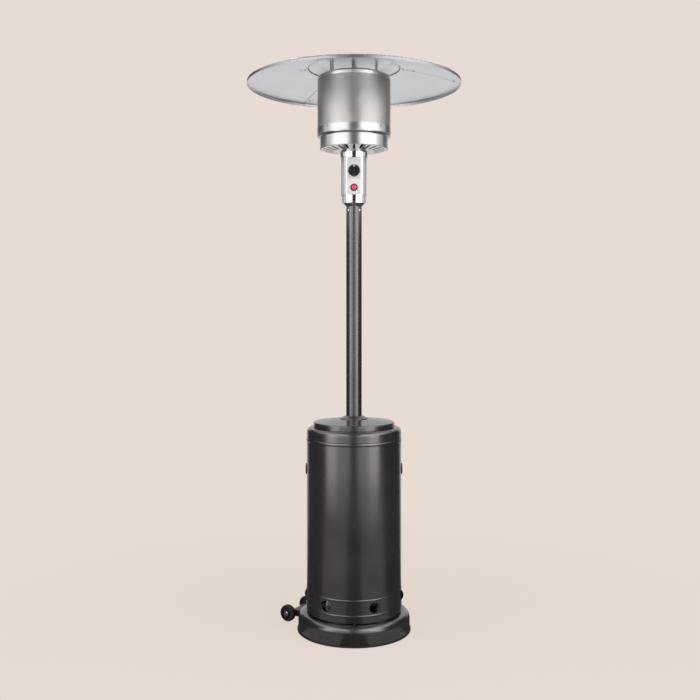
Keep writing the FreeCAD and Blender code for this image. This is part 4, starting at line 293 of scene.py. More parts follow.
class Finish:
    """A material's tree with its shader, and the few nodes that its patterns are made of."""

    def __init__(self, name, colour, metallic=0.0, roughness=0.5, **sockets):
        self.name = name
        self.material = bpy.data.materials.new(name)
        self.material.use_nodes = True
        self.tree = self.material.node_tree
        self.shader = self.tree.nodes["Principled BSDF"]
        self.colour = colour
        self.roughness = roughness
        self.set("Base Color", (*colour, 1.0))
        self.set("Metallic", metallic)
        self.set("Roughness", roughness)
        for socket, value in sockets.items():
            self.set(socket.replace("_", " "), value)
        self.place = self.node("TexCoord").outputs["Object"]

    def set(self, socket, value):
        """Give one of the shader's sockets a value."""
        self.feed(self.shader.inputs[socket], value)

    def feed(self, socket, value):
        """Give a socket a number, a colour or a link."""
        if isinstance(value, Value):
            value = value.socket
        if isinstance(value, bpy.types.NodeSocket):
            self.tree.links.new(value, socket)
        else:
            socket.default_value = value

    def node(self, kind, inputs=None, **settings):
        """Add a node with its settings first and then what its sockets hold."""
        made = self.tree.nodes.new("ShaderNode" + kind)
        for setting, value in settings.items():
            setattr(made, setting, value)
        for socket, value in (inputs or {}).items():
            self.feed(made.inputs[socket], value)
        return made

    def maths(self, operation, first, second=0.0):
        made = self.node("Math", {0: first, 1: second}, operation=operation)
        return Value(self, made.outputs[0])

    def mixed(self, factor, first, second):
        """A mix of two colours. Each is a link or four numbers."""
        return self.node("Mix", {0: factor, 6: first, 7: second}, data_type="RGBA").outputs[2]

    def stretched(self, x, y, z):
        made = self.node("VectorMath", {0: self.place, 1: (x, y, z)}, operation="MULTIPLY")
        return made.outputs[0]

    def along(self, x, y, z):
        """How far a point lies from the origin in a direction."""
        made = self.node("VectorMath", {0: self.place, 1: (x, y, z)}, operation="DOT_PRODUCT")
        return Value(self, made.outputs["Value"])

    def noise(self, scale, detail=2.0, stretch=None):
        place = self.place if stretch is None else self.stretched(*stretch)
        made = self.node("TexNoise", {"Vector": place, "Scale": scale, "Detail": detail})
        return Value(self, made.outputs[0])

    def range(self, value, low, high, to_low=0.0, to_high=1.0):
        made = self.node("MapRange", {0: value, 1: low, 2: high, 3: to_low, 4: to_high})
        return Value(self, made.outputs[0])

    def shade(self, factor, darker, lighter):
        """Vary the base colour between two shares of itself."""
        first, second = ((*(part * share for part in self.colour), 1.0) for share in (darker, lighter))
        self.set("Base Color", self.mixed(factor, first, second))

    def vary_roughness(self, factor, spread):
        low, high = self.roughness - spread, self.roughness + spread
        self.set("Roughness", self.range(factor, 0.3, 0.7, low, high))

    def radius(self):
        """How far a point lies from the upright axis."""
        flat = self.node("VectorMath", {0: self.stretched(1.0, 1.0, 0.0)}, operation="LENGTH")
        return Value(self, flat.outputs["Value"])

    def height(self):
        return Value(self, self.node("SeparateXYZ", {0: self.place}).outputs["Z"])

    def beyond(self, value, edge, width=0.2 * MM):
        """0 up to the edge and 1 beyond it."""
        return self.range(value, edge, edge + width)

    def within(self, value, edge, width=0.2 * MM):
        """1 up to the edge and 0 beyond it."""
        return self.range(value, edge, edge + width, 1.0, 0.0)

    def tint(self, factor, colour):
        """Lay another colour over the base colour."""
        under = self.shader.inputs["Base Color"].links[0].from_socket
        self.set("Base Color", self.mixed(factor, under, (*colour, 1.0)))

    def bump(self, height, strength, distance):
        made = self.node("Bump", {"Height": height, "Strength": strength, "Distance": distance})
        self.set("Normal", made.outputs[0])


# Finishes

# How fast a grain varies along x, y and z: round the axis, the same but finer, and upright
GRAIN_ROUND = (3.0, 3.0, 700.0)
GRAIN_ROUND_FINE = (3.0, 3.0, 900.0)
GRAIN_UPRIGHT = (500.0, 500.0, 3.0)

# Painted shade inside the burner, a black colour: radius of the drum's inside, and the flat, the edge and the
# slope of the dish
PAINTED_INSIDE_SHADE = (0.022, 0.02, 0.019)
DRUM_INSIDE = 128.9 * MM
DISH_FLAT = 52.0 * MM
DISH_EDGE = 119.5 * MM
DISH_SLOPE = 0.203

# The reflector's outer lip, with a painted darker reflection on its outer face: its radius, and the height of the
# painted dark line over the lip's foot
LIP_OUTSIDE = 405.9 * MM
LIP_EDGE = 9.5 * MM
LIP_PAINTED_SHADE = (0.34, 0.34, 0.34)
LIP_PAINTED_DARK_LINE = (0.07, 0.07, 0.07)

# The reflector's seams, each with a painted shadow line: turn of the first in degrees, half their width, and
# where they start
SEAM_TURN = 0.9
SEAM_HALF = 1.1 * MM
SEAM_START = 200.0 * MM
SEAM_PAINTED_SHADOW = (0.2, 0.2, 0.2)

# The painted shadow in the corner of the hat: its radius and its height
HAT_FOOT = 177.5 * MM
HAT_SHADOW = 4.5 * MM
HAT_PAINTED_SHADOW = (0.08, 0.08, 0.08)


def powder_coat(name, colour, metallic, roughness, grain):
    """Powder coat: a fine orange-peel skin with small metallic flakes and soft broad marks."""
    finish = Finish(name, colour, metallic, roughness, Coat_Weight=0.25, Coat_Roughness=0.25)
    peel = finish.noise(grain, 2.0)
    flake = finish.noise(2600.0, 1.0)
    cloud = finish.noise(7.0, 3.0)
    finish.shade(finish.range(flake * 0.6 + cloud * 0.4, 0.35, 0.65), 0.8, 1.25)
    finish.vary_roughness(cloud, 0.03)
    finish.bump(peel, 0.12, 0.0004)
    return finish


def rolled_metal(name, colour, roughness, stretch, grain=0.05, cloud_spread=0.03, streaks=None):
    """Sheet metal with a fine grain along its rolling direction and faint cloudy marks."""
    finish = Finish(name, colour, 1.0, roughness)
    lines = finish.noise(1.0, 3.0, stretch)
    if streaks is None:
        cloud, half = finish.noise(9.0, 3.0), 0.15
    else:
        cloud, half = finish.noise(1.0, 4.0, streaks), 0.07
    finish.shade(finish.range(lines * 0.5 + cloud * 0.5, 0.5 - half, 0.5 + half), 1.0 - grain, 1.0 + grain)
    finish.vary_roughness(lines * 0.6 + cloud * 0.4, cloud_spread)
    finish.bump(lines, 0.05, 0.0002)
    return finish


def drum_with_painted_shade():
    """Brushed steel whose inside is painted black as shade."""
    finish = rolled_metal("drum_steel", (0.52, 0.52, 0.52), 0.29, GRAIN_ROUND, 0.04, 0.02)
    # Painted shade: black on every face inside the drum's wall
    finish.tint(finish.within(finish.radius(), DRUM_INSIDE), PAINTED_INSIDE_SHADE)
    return finish


def dish_with_painted_shade():
    """Pressed steel, bright below, and painted black as shade above and in its slots."""
    finish = rolled_metal("dish_steel", (0.7, 0.7, 0.7), 0.3, GRAIN_UPRIGHT)
    reach = finish.maths("MAXIMUM", finish.radius() - DISH_FLAT, 0.0)
    above = finish.height() - reach * DISH_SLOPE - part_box("burner_dish")[0].z
    # Painted shade: black on the dish's upper side and in its slots, inside its edge
    finish.tint(finish.beyond(above, 0.2 * MM) * finish.within(finish.radius(), DISH_EDGE), PAINTED_INSIDE_SHADE)
    return finish


def lipped_aluminium():
    """Bare sheet with a painted darker reflection on its outer lip, a painted dark line along its bend, and
    painted shadow lines in its three seams.
    """
    finish = rolled_metal("reflector_aluminium", (0.86, 0.88, 0.9), 0.38, GRAIN_UPRIGHT)
    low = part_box("reflector_panel_1")[0].z
    lip = finish.beyond(finish.radius(), LIP_OUTSIDE)
    # Painted dark reflection on the lip's outer face, darker still over its hem
    finish.tint(lip, LIP_PAINTED_SHADE)
    finish.tint(lip * finish.beyond(finish.height(), low + LIP_EDGE), LIP_PAINTED_DARK_LINE)
    # Painted shadow: a dark line along each seam
    for turn in (0, 120, 240):
        angle = radians(SEAM_TURN + turn)
        across = finish.maths("ABSOLUTE", finish.along(-sin(angle), cos(angle), 0))
        outwards = finish.along(cos(angle), sin(angle), 0)
        seam = finish.within(across, SEAM_HALF) * finish.beyond(outwards, SEAM_START)
        finish.tint(seam, SEAM_PAINTED_SHADOW)
    return finish


def hat_with_painted_shadow():
    """Bare sheet with a painted shadow in the corner where its raised wall begins."""
    finish = rolled_metal("hat_steel", (0.84, 0.85, 0.86), 0.3, GRAIN_UPRIGHT)
    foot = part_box("reflector_hat")[0].z + HAT_SHADOW
    # Painted shadow along the foot of the hat's raised wall
    corner = finish.within(finish.height(), foot, 1.5 * MM) * finish.within(finish.radius(), HAT_FOOT)
    finish.tint(corner, HAT_PAINTED_SHADOW)
    return finish


def plated_metal(name, colour, roughness):
    """Plated or cast metal: small crystals in the plating and dull patches."""
    finish = Finish(name, colour, 1.0, roughness)
    cells = finish.node("TexVoronoi", {"Vector": finish.place, "Scale": 700.0})
    crystals = Value(finish, cells.outputs["Distance"])
    cloud = finish.noise(40.0, 3.0)
    finish.shade(finish.range(crystals * 0.4 + cloud * 0.6, 0.2, 0.7), 0.85, 1.1)
    finish.vary_roughness(cloud, 0.08)
    finish.bump(cloud, 0.05, 0.0003)
    return finish


def cast_metal(name, colour, roughness):
    """A die casting: a dull skin with a fine pebbled surface."""
    finish = Finish(name, colour, 1.0, roughness)
    pebbles = finish.noise(900.0, 3.0)
    cloud = finish.noise(30.0, 2.0)
    finish.shade(cloud, 0.8, 1.15)
    finish.vary_roughness(pebbles, 0.08)
    finish.bump(pebbles, 0.3, 0.0004)
    return finish


def moulded(name, colour, roughness, grain, depth):
    """Moulded plastic, rubber or ceramic: a fine spark-eroded grain and faint cloudy gloss."""
    finish = Finish(name, colour, 0.0, roughness)
    skin = finish.noise(grain, 2.0)
    cloud = finish.noise(25.0, 2.0)
    finish.shade(cloud, 0.85, 1.2)
    finish.vary_roughness(skin * 0.5 + cloud * 0.5, 0.05)
    finish.bump(skin, depth, 0.0003)
    return finish


# Nodes whose finish differs from that of their slot
NODE_FINISHES = {
    "control_panel": "panel_grey",
    "head_cone": "cone_steel",
    "emitter_crown": "crown_steel",
    "control_cover": "stainless_bright",
    "head_lower_shell": "stainless_bright",
    "head_neck_ring": "stainless_bright",
    "burner_dish": "dish_steel",
    "burner_head": "burnt_steel",
    "venturi_tube": "burnt_steel",
    "lower_drum": "drum_steel",
    "emitter_band": "drum_steel",
    "reflector_hat": "hat_steel",
}


def all_finishes():
    """Every finish by its name: one for each material slot of the record, then those of single nodes."""
    finishes = (
        powder_coat("panel_grey", (0.6, 0.6, 0.61), 0.3, 0.42, 900.0),
        powder_coat("dark_paint", (0.150, 0.140, 0.143), 0.9, 0.24, 900.0),
        powder_coat("black_steel", (0.020, 0.020, 0.021), 0.2, 0.42, 1200.0),
        moulded("black_plastic", (0.014, 0.014, 0.015), 0.42, 1500.0, 0.25),
        moulded("knob_plastic", (0.010, 0.010, 0.011), 0.32, 1800.0, 0.12),
        moulded("red_plastic", (0.58, 0.035, 0.07), 0.32, 1500.0, 0.1),
        moulded("foot_rubber", (0.020, 0.020, 0.021), 0.7, 800.0, 0.4),
        moulded("wheel_rubber", (0.018, 0.018, 0.019), 0.6, 900.0, 0.35),
        rolled_metal("stainless", (0.66, 0.66, 0.66), 0.24, GRAIN_ROUND_FINE),
        rolled_metal("stainless_bright", (0.62, 0.62, 0.62), 0.13, GRAIN_ROUND, 0.03, 0.01),
        rolled_metal("cone_steel", (0.92, 0.92, 0.92), 0.16, GRAIN_ROUND, 0.03, 0.01),
        rolled_metal("crown_steel", (0.95, 0.95, 0.95), 0.3, GRAIN_ROUND, 0.08),
        rolled_metal("burnt_steel", (0.11, 0.1, 0.095), 0.45, (300.0, 300.0, 40.0), 0.3),
        dish_with_painted_shade(),
        drum_with_painted_shade(),
        hat_with_painted_shadow(),
        rolled_metal("screen_steel", (0.96, 0.96, 0.96), 0.24, GRAIN_ROUND_FINE, 0.22,
                     streaks=(55.0, 55.0, 6.0)),
        lipped_aluminium(),
        moulded("white_print", (0.85, 0.85, 0.84), 0.4, 1500.0, 0.1),
        moulded("grey_print", (0.16, 0.15, 0.155), 0.4, 1500.0, 0.1),
        plated_metal("zinc_steel", (0.56, 0.56, 0.57), 0.3),
        plated_metal("brass", (0.62, 0.44, 0.19), 0.3),
        plated_metal("copper_tube", (0.66, 0.34, 0.22), 0.28),
        cast_metal("valve_casting", (0.48, 0.48, 0.49), 0.42),
        moulded("ceramic", (0.76, 0.73, 0.67), 0.3, 700.0, 0.1),
    )
    return {finish.name: finish.material for finish in finishes}


# Modelling helpers

def deselect():
    if bpy.context.mode != "OBJECT":
        bpy.ops.object.mode_set(mode="OBJECT")
    bpy.ops.object.select_all(action="DESELECT")


def activate(piece):
    deselect()
    piece.select_set(True)
    bpy.context.view_layer.objects.active = piece


def edit_all(piece, select="SELECT"):
    activate(piece)
    bpy.ops.object.mode_set(mode="EDIT")
    bpy.ops.mesh.select_all(action=select)


def edit_faces(piece, chosen):
    """Enter edit mode with just the faces that pass a test selected."""
    edit_all(piece, "DESELECT")
    bpy.ops.mesh.select_mode(type="FACE")
    bpy.ops.object.mode_set(mode="OBJECT")
    for face in piece.data.polygons:
        face.select = chosen(face)
    bpy.ops.object.mode_set(mode="EDIT")


def apply_modifier(piece, kind, **settings):
    """Add one modifier with these settings and apply it at once."""
    activate(piece)
    modifier = piece.modifiers.new(kind.title(), kind)
    for setting, value in settings.items():
        setattr(modifier, setting, value)
    bpy.ops.object.modifier_apply(modifier=modifier.name)


def apply_place(piece):
    activate(piece)
    bpy.ops.object.transform_apply(location=True, rotation=True, scale=True)


def repeat_round(piece, count, turn):
    """Copy the faces of a piece in edit mode round the upright axis, each a turn further, and leave edit mode."""
    for number in range(1, count):
        bpy.ops.mesh.select_all(action="DESELECT")
        bpy.ops.object.mode_set(mode="OBJECT")
        first = len(piece.data.polygons) // number
        for face in piece.data.polygons:
            face.select = face.index < first
        bpy.ops.object.mode_set(mode="EDIT")
        bpy.ops.mesh.duplicate()
        bpy.ops.transform.rotate(value=number * turn, orient_axis="Z", center_override=(0, 0, 0))
    bpy.ops.object.mode_set(mode="OBJECT")


def copied(node):
    """A copy of a node with its own mesh, in the scene."""
    copy = frame["nodes"][node].copy()
    copy.data = copy.data.copy()
    bpy.context.scene.collection.objects.link(copy)
    return copy


def finished(piece, name, body, slot, finish=None):
    """Name a piece, give it its slot's finish or another one, and let it ride on its body."""
    piece.name = name
    piece.data.name = name
    piece.data.materials.clear()
    piece.data.materials.append(bpy.data.materials[finish or slot])
    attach(piece, body)
    return piece


# Pieces

def perforated_screen(settings):
    """The emitter's screen: a sheet of staggered holes rolled into a tube."""
    low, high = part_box("emitter_screen")
    radius = high.x
    height = high.z - low.z
    pitch = 2 * pi * radius / settings.columns
    row = pitch * sqrt(3) / 2
    pairs = ceil(height / row / 2) + 1
    length = settings.columns * pitch
    near = pitch / 200

    deselect()
    bpy.ops.mesh.primitive_circle_add(vertices=6, radius=pitch / sqrt(3), fill_type="NGON")
    screen = bpy.context.object
    edit_all(screen)
    bpy.ops.mesh.inset(thickness=(pitch - settings.hole) / 2)
    bpy.ops.mesh.delete(type="FACE")
    bpy.ops.object.mode_set(mode="OBJECT")

    steps = ((settings.columns + 1, (pitch, 0, 0)), (2, (pitch / 2, row, 0)), (pairs, (0, row * 2, 0)))
    for count, step in steps:
        apply_modifier(screen, "ARRAY", count=count, use_relative_offset=False, use_constant_offset=True,
                       constant_offset_displace=step, use_merge_vertices=True, merge_threshold=near)

    edit_all(screen)
    bpy.ops.mesh.remove_doubles(threshold=near)
    cuts = [((0, 0, 0), (-1, 0, 0)), ((length, 0, 0), (1, 0, 0)), ((0, 0, 0), (0, -1, 0)),
            ((0, height, 0), (0, 1, 0))]
    for point, outwards in cuts:
        bpy.ops.mesh.select_all(action="SELECT")
        bpy.ops.mesh.bisect(plane_co=point, plane_no=outwards, clear_outer=True)
    bpy.ops.object.mode_set(mode="OBJECT")

    screen.location = (-length / 2, 0, low.z)
    screen.rotation_euler = (pi / 2, 0, 0)
    apply_place(screen)
    apply_modifier(screen, "SIMPLE_DEFORM", deform_method="BEND", deform_axis="Z", angle=2 * pi)
    screen.location = (0, -radius, 0)
    apply_place(screen)

    edit_all(screen)
    bpy.ops.mesh.remove_doubles(threshold=near)
    bpy.ops.mesh.normals_make_consistent(inside=False)
    bpy.ops.object.mode_set(mode="OBJECT")
    apply_modifier(screen, "SOLIDIFY", thickness=settings.thickness, offset=-1.0, use_even_offset=False)
    activate(screen)
    bpy.ops.object.shade_smooth_by_angle(angle=radians(25))
    finished(screen, "perforated_screen", "root", "screen_steel")
    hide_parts("emitter_screen")
    return screen


def knob_dot(settings):
    """The white dot printed near the end of the knob's grip."""
    low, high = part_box("control_knob")
    middle = (low + high) / 2
    deselect()
    bpy.ops.mesh.primitive_cylinder_add(vertices=40, radius=settings.dot_radius, depth=settings.print_depth,
                                        location=(middle.x, low.y, middle.z + settings.dot_rise),
                                        rotation=(pi / 2, 0, 0))
    dot = bpy.context.object
    apply_place(dot)
    apply_modifier(dot, "BEVEL", width=settings.print_depth / 4, segments=2)
    return finished(dot, "knob_dot", "knob", "knob_plastic", "white_print")


def panel_tick(settings, side):
    """One printed end mark of the knob's travel."""
    low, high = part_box("control_knob")
    middle = (low + high) / 2
    angle = side * settings.tick_angle
    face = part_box("control_panel")[0].y
    place = (middle.x + settings.tick_reach * sin(angle), face, middle.z - settings.tick_reach * cos(angle))
    deselect()
    bpy.ops.mesh.primitive_cube_add(size=1, location=place, rotation=(0, -angle, 0),
                                    scale=(settings.tick_width, settings.print_depth, settings.tick_length))
    tick = bpy.context.object
    apply_place(tick)
    apply_modifier(tick, "BEVEL", width=settings.print_depth / 4, segments=2)
    name = "panel_tick_left" if side < 0 else "panel_tick_right"
    return finished(tick, name, "root", "stainless", "grey_print")


HAT_SCREWS = 6

# Wider than the radius of a screw's hole
HOLE_CLEARANCE = 6 * MM


def underside(x, y):
    """A point on the reflector's lower side and the normal there, found on both sides of any screw hole."""
    outwards = Vector((x, y, 0)).normalized()
    points, normals = [], []
    for shift in (-HOLE_CLEARANCE, HOLE_CLEARANCE):
        start = Vector((x, y, 0)) + outwards * shift
        hits = []
        for number in (1, 2, 3):
            panel = frame["nodes"][f"reflector_panel_{number}"]
            hit, point, normal, _ = panel.ray_cast(start, (0, 0, 1))
            if hit:
                hits.append((point, normal))
        point, normal = min(hits, key=lambda found: found[0].z)
        points.append(point)
        normals.append(normal)
    return (points[0] + points[1]) / 2, (normals[0] + normals[1]).normalized()


def dimple_rings(settings):
    """Pressed rings round the six screws of the hat, cut off at the panels' inner edge."""
    angle = settings.first_turn
    outwards = Vector((cos(angle), sin(angle), 0))
    point, normal = underside(*(outwards * settings.circle).xy)
    deselect()
    bpy.ops.mesh.primitive_torus_add(major_segments=64, minor_segments=12, major_radius=settings.ring_radius,
                                     minor_radius=settings.ring_tube, location=point,
                                     rotation=normal.to_track_quat("Z", "Y").to_euler())
    rings = bpy.context.object
    apply_place(rings)
    edit_all(rings)
    bpy.ops.mesh.bisect(plane_co=outwards * settings.cut, plane_no=outwards, clear_inner=True, use_fill=True)
    repeat_round(rings, HAT_SCREWS, -2 * pi / HAT_SCREWS)
    bpy.ops.object.shade_smooth_by_angle(angle=radians(40))
    return finished(rings, "hat_dimple_rings", "root", "reflector_aluminium")


def back_seam(settings):
    """The folded upright seam at the back of the housing."""
    low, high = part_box("housing_cylinder")
    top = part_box("housing_top_ring")[0].z
    foot = low.z + settings.foot
    middle = (foot + top - settings.head) / 2
    deselect()
    bpy.ops.mesh.primitive_cube_add(size=1, location=(0, high.y - settings.bead, middle),
                                    scale=(settings.width, settings.thickness, top - settings.head - foot))
    seam = bpy.context.object
    apply_place(seam)
    apply_modifier(seam, "BEVEL", width=settings.thickness * 0.4, segments=3)
    activate(seam)
    bpy.ops.object.shade_smooth_by_angle(angle=radians(40))
    return finished(seam, "housing_back_seam", "housing", "dark_paint")


def slotted_dish(settings):
    """The burner's dish with its ring of slots opened to their full width."""
    dish = copied("burner_dish")
    low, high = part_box("burner_dish")
    length = settings.outer - settings.inner
    middle = (settings.outer + settings.inner) / 2
    deselect()
    bpy.ops.mesh.primitive_cube_add(size=1, location=(middle, 0, (low.z + high.z) / 2),
                                    scale=(length, settings.width, settings.tall))
    cutter = bpy.context.object
    apply_place(cutter)
    edit_all(cutter, "DESELECT")
    bpy.ops.mesh.select_mode(type="EDGE")
    bpy.ops.object.mode_set(mode="OBJECT")
    for edge in cutter.data.edges:
        first, second = (cutter.data.vertices[number].co for number in edge.vertices)
        edge.select = abs(first.z - second.z) > settings.tall / 2
    bpy.ops.object.mode_set(mode="EDIT")
    bpy.ops.mesh.bevel(offset=settings.width * 0.49, segments=6)
    repeat_round(cutter, settings.count, 2 * pi / settings.count)
    apply_modifier(dish, "BOOLEAN", operation="DIFFERENCE", solver="EXACT", object=cutter)
    bpy.data.objects.remove(cutter)
    activate(dish)
    bpy.ops.object.shade_smooth_by_angle(angle=radians(25))
    finished(dish, "slotted_dish", "root", "stainless", "dish_steel")
    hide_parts("burner_dish")
    return dish


def loose_pieces(node):
    """A copy of a node, in one object for each of its solids."""
    edit_all(copied(node))
    bpy.ops.mesh.separate(type="LOOSE")
    bpy.ops.object.mode_set(mode="OBJECT")
    return list(bpy.context.selected_objects)


def cross_cutter(settings, place, turn, width):
    """Two crossed bars."""
    cutters = []
    bar = width * settings.bar
    deep = settings.depth * 2
    for sizes in ((width, bar, deep), (bar, width, deep)):
        deselect()
        bpy.ops.mesh.primitive_cube_add(size=1, location=place, rotation=turn, scale=sizes)
        cutters.append(bpy.context.object)
        apply_place(bpy.context.object)
    return cutters


def recessed_screws(settings, node):
    """A node's screws with a cross recess sunk in each head."""
    screws = loose_pieces(node)
    for screw in screws:
        spots = [vertex.co for vertex in screw.data.vertices]
        middle = sum(spots, Vector()) / len(spots)
        if node == "reflector_screws":
            out = underside(middle.x, middle.y)[1]
        else:
            out = Vector((middle.x, middle.y, 0)).normalized()
        reach = max(spot.dot(out) for spot in spots)
        place = middle + out * (reach - middle.dot(out))
        wide = 2 * max((spot - middle - out * (spot - middle).dot(out)).length for spot in spots)
        turn = out.to_track_quat("Z", "Y").to_euler()
        for cutter in cross_cutter(settings, place, turn, wide * settings.share):
            apply_modifier(screw, "BOOLEAN", operation="DIFFERENCE", solver="EXACT", object=cutter)
            bpy.data.objects.remove(cutter)
    deselect()
    for screw in screws:
        screw.select_set(True)
    bpy.context.view_layer.objects.active = screws[0]
    bpy.ops.object.join()
    whole = bpy.context.object
    finished(whole, node + "_recessed", "root", SCREW_SLOTS[node])
    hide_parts(node)
    return whole


SCREW_SLOTS = {
    "base_wall_screws": "black_steel",
    "post_top_screws": "zinc_steel",
    "band_screws": "zinc_steel",
    "reflector_screws": "zinc_steel",
}


# Operators

class HEATER_OT_finishes(bpy.types.Operator):
    """Give every solid of the frame the finish of its material slot"""
    bl_idname = "heater.finishes"
    bl_label = "Finish the Solids"

    def execute(self, context):
        finishes = all_finishes()
        for part in frame["record"]["subparts"]:
            node = frame["nodes"][part["node"]]
            slot = NODE_FINISHES.get(part["node"], part["material_slot"])
            if slot not in finishes:
                raise RuntimeError(f"no finish is written for the slot {slot}")
            for place in node.material_slots:
                place.material = finishes[slot]
        return {"FINISHED"}


class HEATER_OT_screen(bpy.types.Operator):
    """Roll the emitter's perforated screen"""
    bl_idname = "heater.screen"
    bl_label = "Perforated Screen"

    def execute(self, context):
        screen = perforated_screen(context.scene.heater_screen)
        if len(screen.data.polygons) < 1000:
            raise RuntimeError("the screen has lost its holes")
        return {"FINISHED"}


class HEATER_OT_marks(bpy.types.Operator):
    """Print the dot on the knob and the two marks on the panel"""
    bl_idname = "heater.marks"
    bl_label = "Knob Dot and Marks"

    def execute(self, context):
        settings = context.scene.heater_marks
        made = [knob_dot(settings), panel_tick(settings, -1), panel_tick(settings, 1)]
        if not all(piece.data.polygons for piece in made):
            raise RuntimeError("a mark came out empty")
        return {"FINISHED"}


class HEATER_OT_rings(bpy.types.Operator):
    """Press the rings round the screws of the hat"""
    bl_idname = "heater.rings"
    bl_label = "Hat Rings"

    def execute(self, context):
        rings = dimple_rings(context.scene.heater_rings)
        if len(rings.data.polygons) < 600:
            raise RuntimeError("some rings are missing")
        return {"FINISHED"}


class HEATER_OT_seam(bpy.types.Operator):
    """Fold the seam at the back of the housing"""
    bl_idname = "heater.seam"
    bl_label = "Back Seam"

    def execute(self, context):
        seam = back_seam(context.scene.heater_seam)
        if not seam.data.polygons:
            raise RuntimeError("the seam came out empty")
        return {"FINISHED"}


class HEATER_OT_slots(bpy.types.Operator):
    """Open the slots of the burner's dish"""
    bl_idname = "heater.slots"
    bl_label = "Dish Slots"

    def execute(self, context):
        dish = slotted_dish(context.scene.heater_slots)
        if len(dish.data.polygons) < 300:
            raise RuntimeError("the dish has lost its slots")
        return {"FINISHED"}


class HEATER_OT_recesses(bpy.types.Operator):
    """Sink a cross recess in the head of every screw that shows"""
    bl_idname = "heater.recesses"
    bl_label = "Screw Recesses"

    def execute(self, context):
        for node in SCREW_SLOTS:
            before = len(frame["nodes"][node].data.polygons)
            screws = recessed_screws(context.scene.heater_recesses, node)
            if len(screws.data.polygons) <= before:
                raise RuntimeError(f"no recess was cut in {node}")
        return {"FINISHED"}


class HEATER_OT_stage(bpy.types.Operator):
    """Set up the floor, the lamps, the world and the camera"""
    bl_idname = "heater.stage"
    bl_label = "Stage and Camera"

    def execute(self, context):
        settings = context.scene.heater_stage
        make_world(context.scene, settings)
        make_floor(settings)
        make_tent()
        make_cards()
        make_lamps(settings)
        make_camera(context.scene)
        if context.scene.camera is None:
            raise RuntimeError("the scene has no camera")
        return {"FINISHED"}


class HEATER_PT_panel(bpy.types.Panel):
    """The heater's pieces, in the order in which they are made"""
    bl_idname = "HEATER_PT_panel"
    bl_label = "Patio Heater"
    bl_space_type = "VIEW_3D"
    bl_region_type = "UI"
    bl_category = "Patio Heater"

    def draw(self, context):
        layout = self.layout
        scene = context.scene
        for name, group in SETTINGS.items():
            layout.label(text=group.__name__)
            for setting in group.__annotations__:
                layout.prop(getattr(scene, name), setting)
        for operator in OPERATORS:
            layout.operator(operator.bl_idname)


# Stage

# The camera: its place in metres, its lens and sensor in millimetres, its shift as a share of the frame
CAMERA_PLACE = (-0.0153, -3.55, 1.2138)
CAMERA_LENS = 47.83
CAMERA_SENSOR = 36.0
CAMERA_SHIFT = -40.0 / 700.0

# The floor in metres. Its own glow grows from a least share to all of it between two distances.
FLOOR_RADIUS = 14.0
FLOOR_HEIGHT = -0.0006
FADE_START = 0.3
FADE_END = 2.0
FADE_LEAST = 0.86

# What reflections see: lengths in metres, azimuths in degrees from the camera, glows where 1 is white
TENT_RADIUS = 4.6
TENT_HEIGHT = 4.4
TENT_SIDE = 147.0
TENT_TURN = 3.5
CARD_HEIGHT = 0.0004
CARD_BACK = 145
DARK = 0.03
DIM = 0.05
GREY = 0.24
PALE = 0.72
SIDE_CARDS = (("front", 0, 16, DARK), ("middle", 16, 75, GREY), ("side", 75, CARD_BACK, DIM))

# Each lamp: name, azimuth and span in degrees, share of the glow, and for a high one its top in metres
LAMP_DISTANCE = 1.8
LAMP_LOW = 0.25
LAMP_MIDDLE = 0.8
LAMP_CHANGE = 1.76
LAMP_HEAD_TOP = 2.08
LAMP_TOP = 3.9
MIDDLE_GAIN = 1.4
HIGH_GAIN = 1.35
LAMPS = (
    ("left", -53.0, 26.0, 1.0),
    ("left_inner", -24.0, 32.0, 0.45),
    ("right", 46.0, 26.0, 1.1),
    ("right_inner", 20.0, 26.0, 0.5),
)
HIGH_LAMPS = (
    ("left_high", -46.0, 60.0, HIGH_GAIN, LAMP_TOP),
    ("left_side", -90.0, 28.0, HIGH_GAIN * 0.45, LAMP_TOP),
    ("right_high", 49.0, 64.0, HIGH_GAIN * 1.1, LAMP_TOP),
    ("right_side", 95.0, 28.0, HIGH_GAIN * 0.4, LAMP_TOP),
    ("left_head", -124.0, 36.0, 0.4, LAMP_HEAD_TOP),
    ("right_head", 130.0, 36.0, 0.4, LAMP_HEAD_TOP),
)


def make_world(scene, settings):
    """Even light all round, and a pale background where the camera or a reflection looks past the heater."""
    world = bpy.data.worlds.new("studio")
    scene.world = world
    world.use_nodes = True
    tree = world.node_tree
    tree.nodes.clear()
    rays = tree.nodes.new("ShaderNodeLightPath")
    seen = rays.outputs["Is Camera Ray"]
    for kind in ("Is Glossy Ray", "Is Transmission Ray"):
        either = tree.nodes.new("ShaderNodeMath")
        either.operation = "MAXIMUM"
        tree.links.new(seen, either.inputs[0])
        tree.links.new(rays.outputs[kind], either.inputs[1])
        seen = either.outputs[0]
    mix = tree.nodes.new("ShaderNodeMixShader")
    tree.links.new(seen, mix.inputs[0])
    lights = (((1.0, 1.0, 1.0), settings.world_strength), (settings.background, 1.0))
    for number, (colour, strength) in enumerate(lights, 1):
        light = tree.nodes.new("ShaderNodeBackground")
        light.inputs["Color"].default_value = (*colour, 1.0)
        light.inputs["Strength"].default_value = strength
        tree.links.new(light.outputs[0], mix.inputs[number])
    output = tree.nodes.new("ShaderNodeOutputWorld")
    tree.links.new(mix.outputs[0], output.inputs["Surface"])


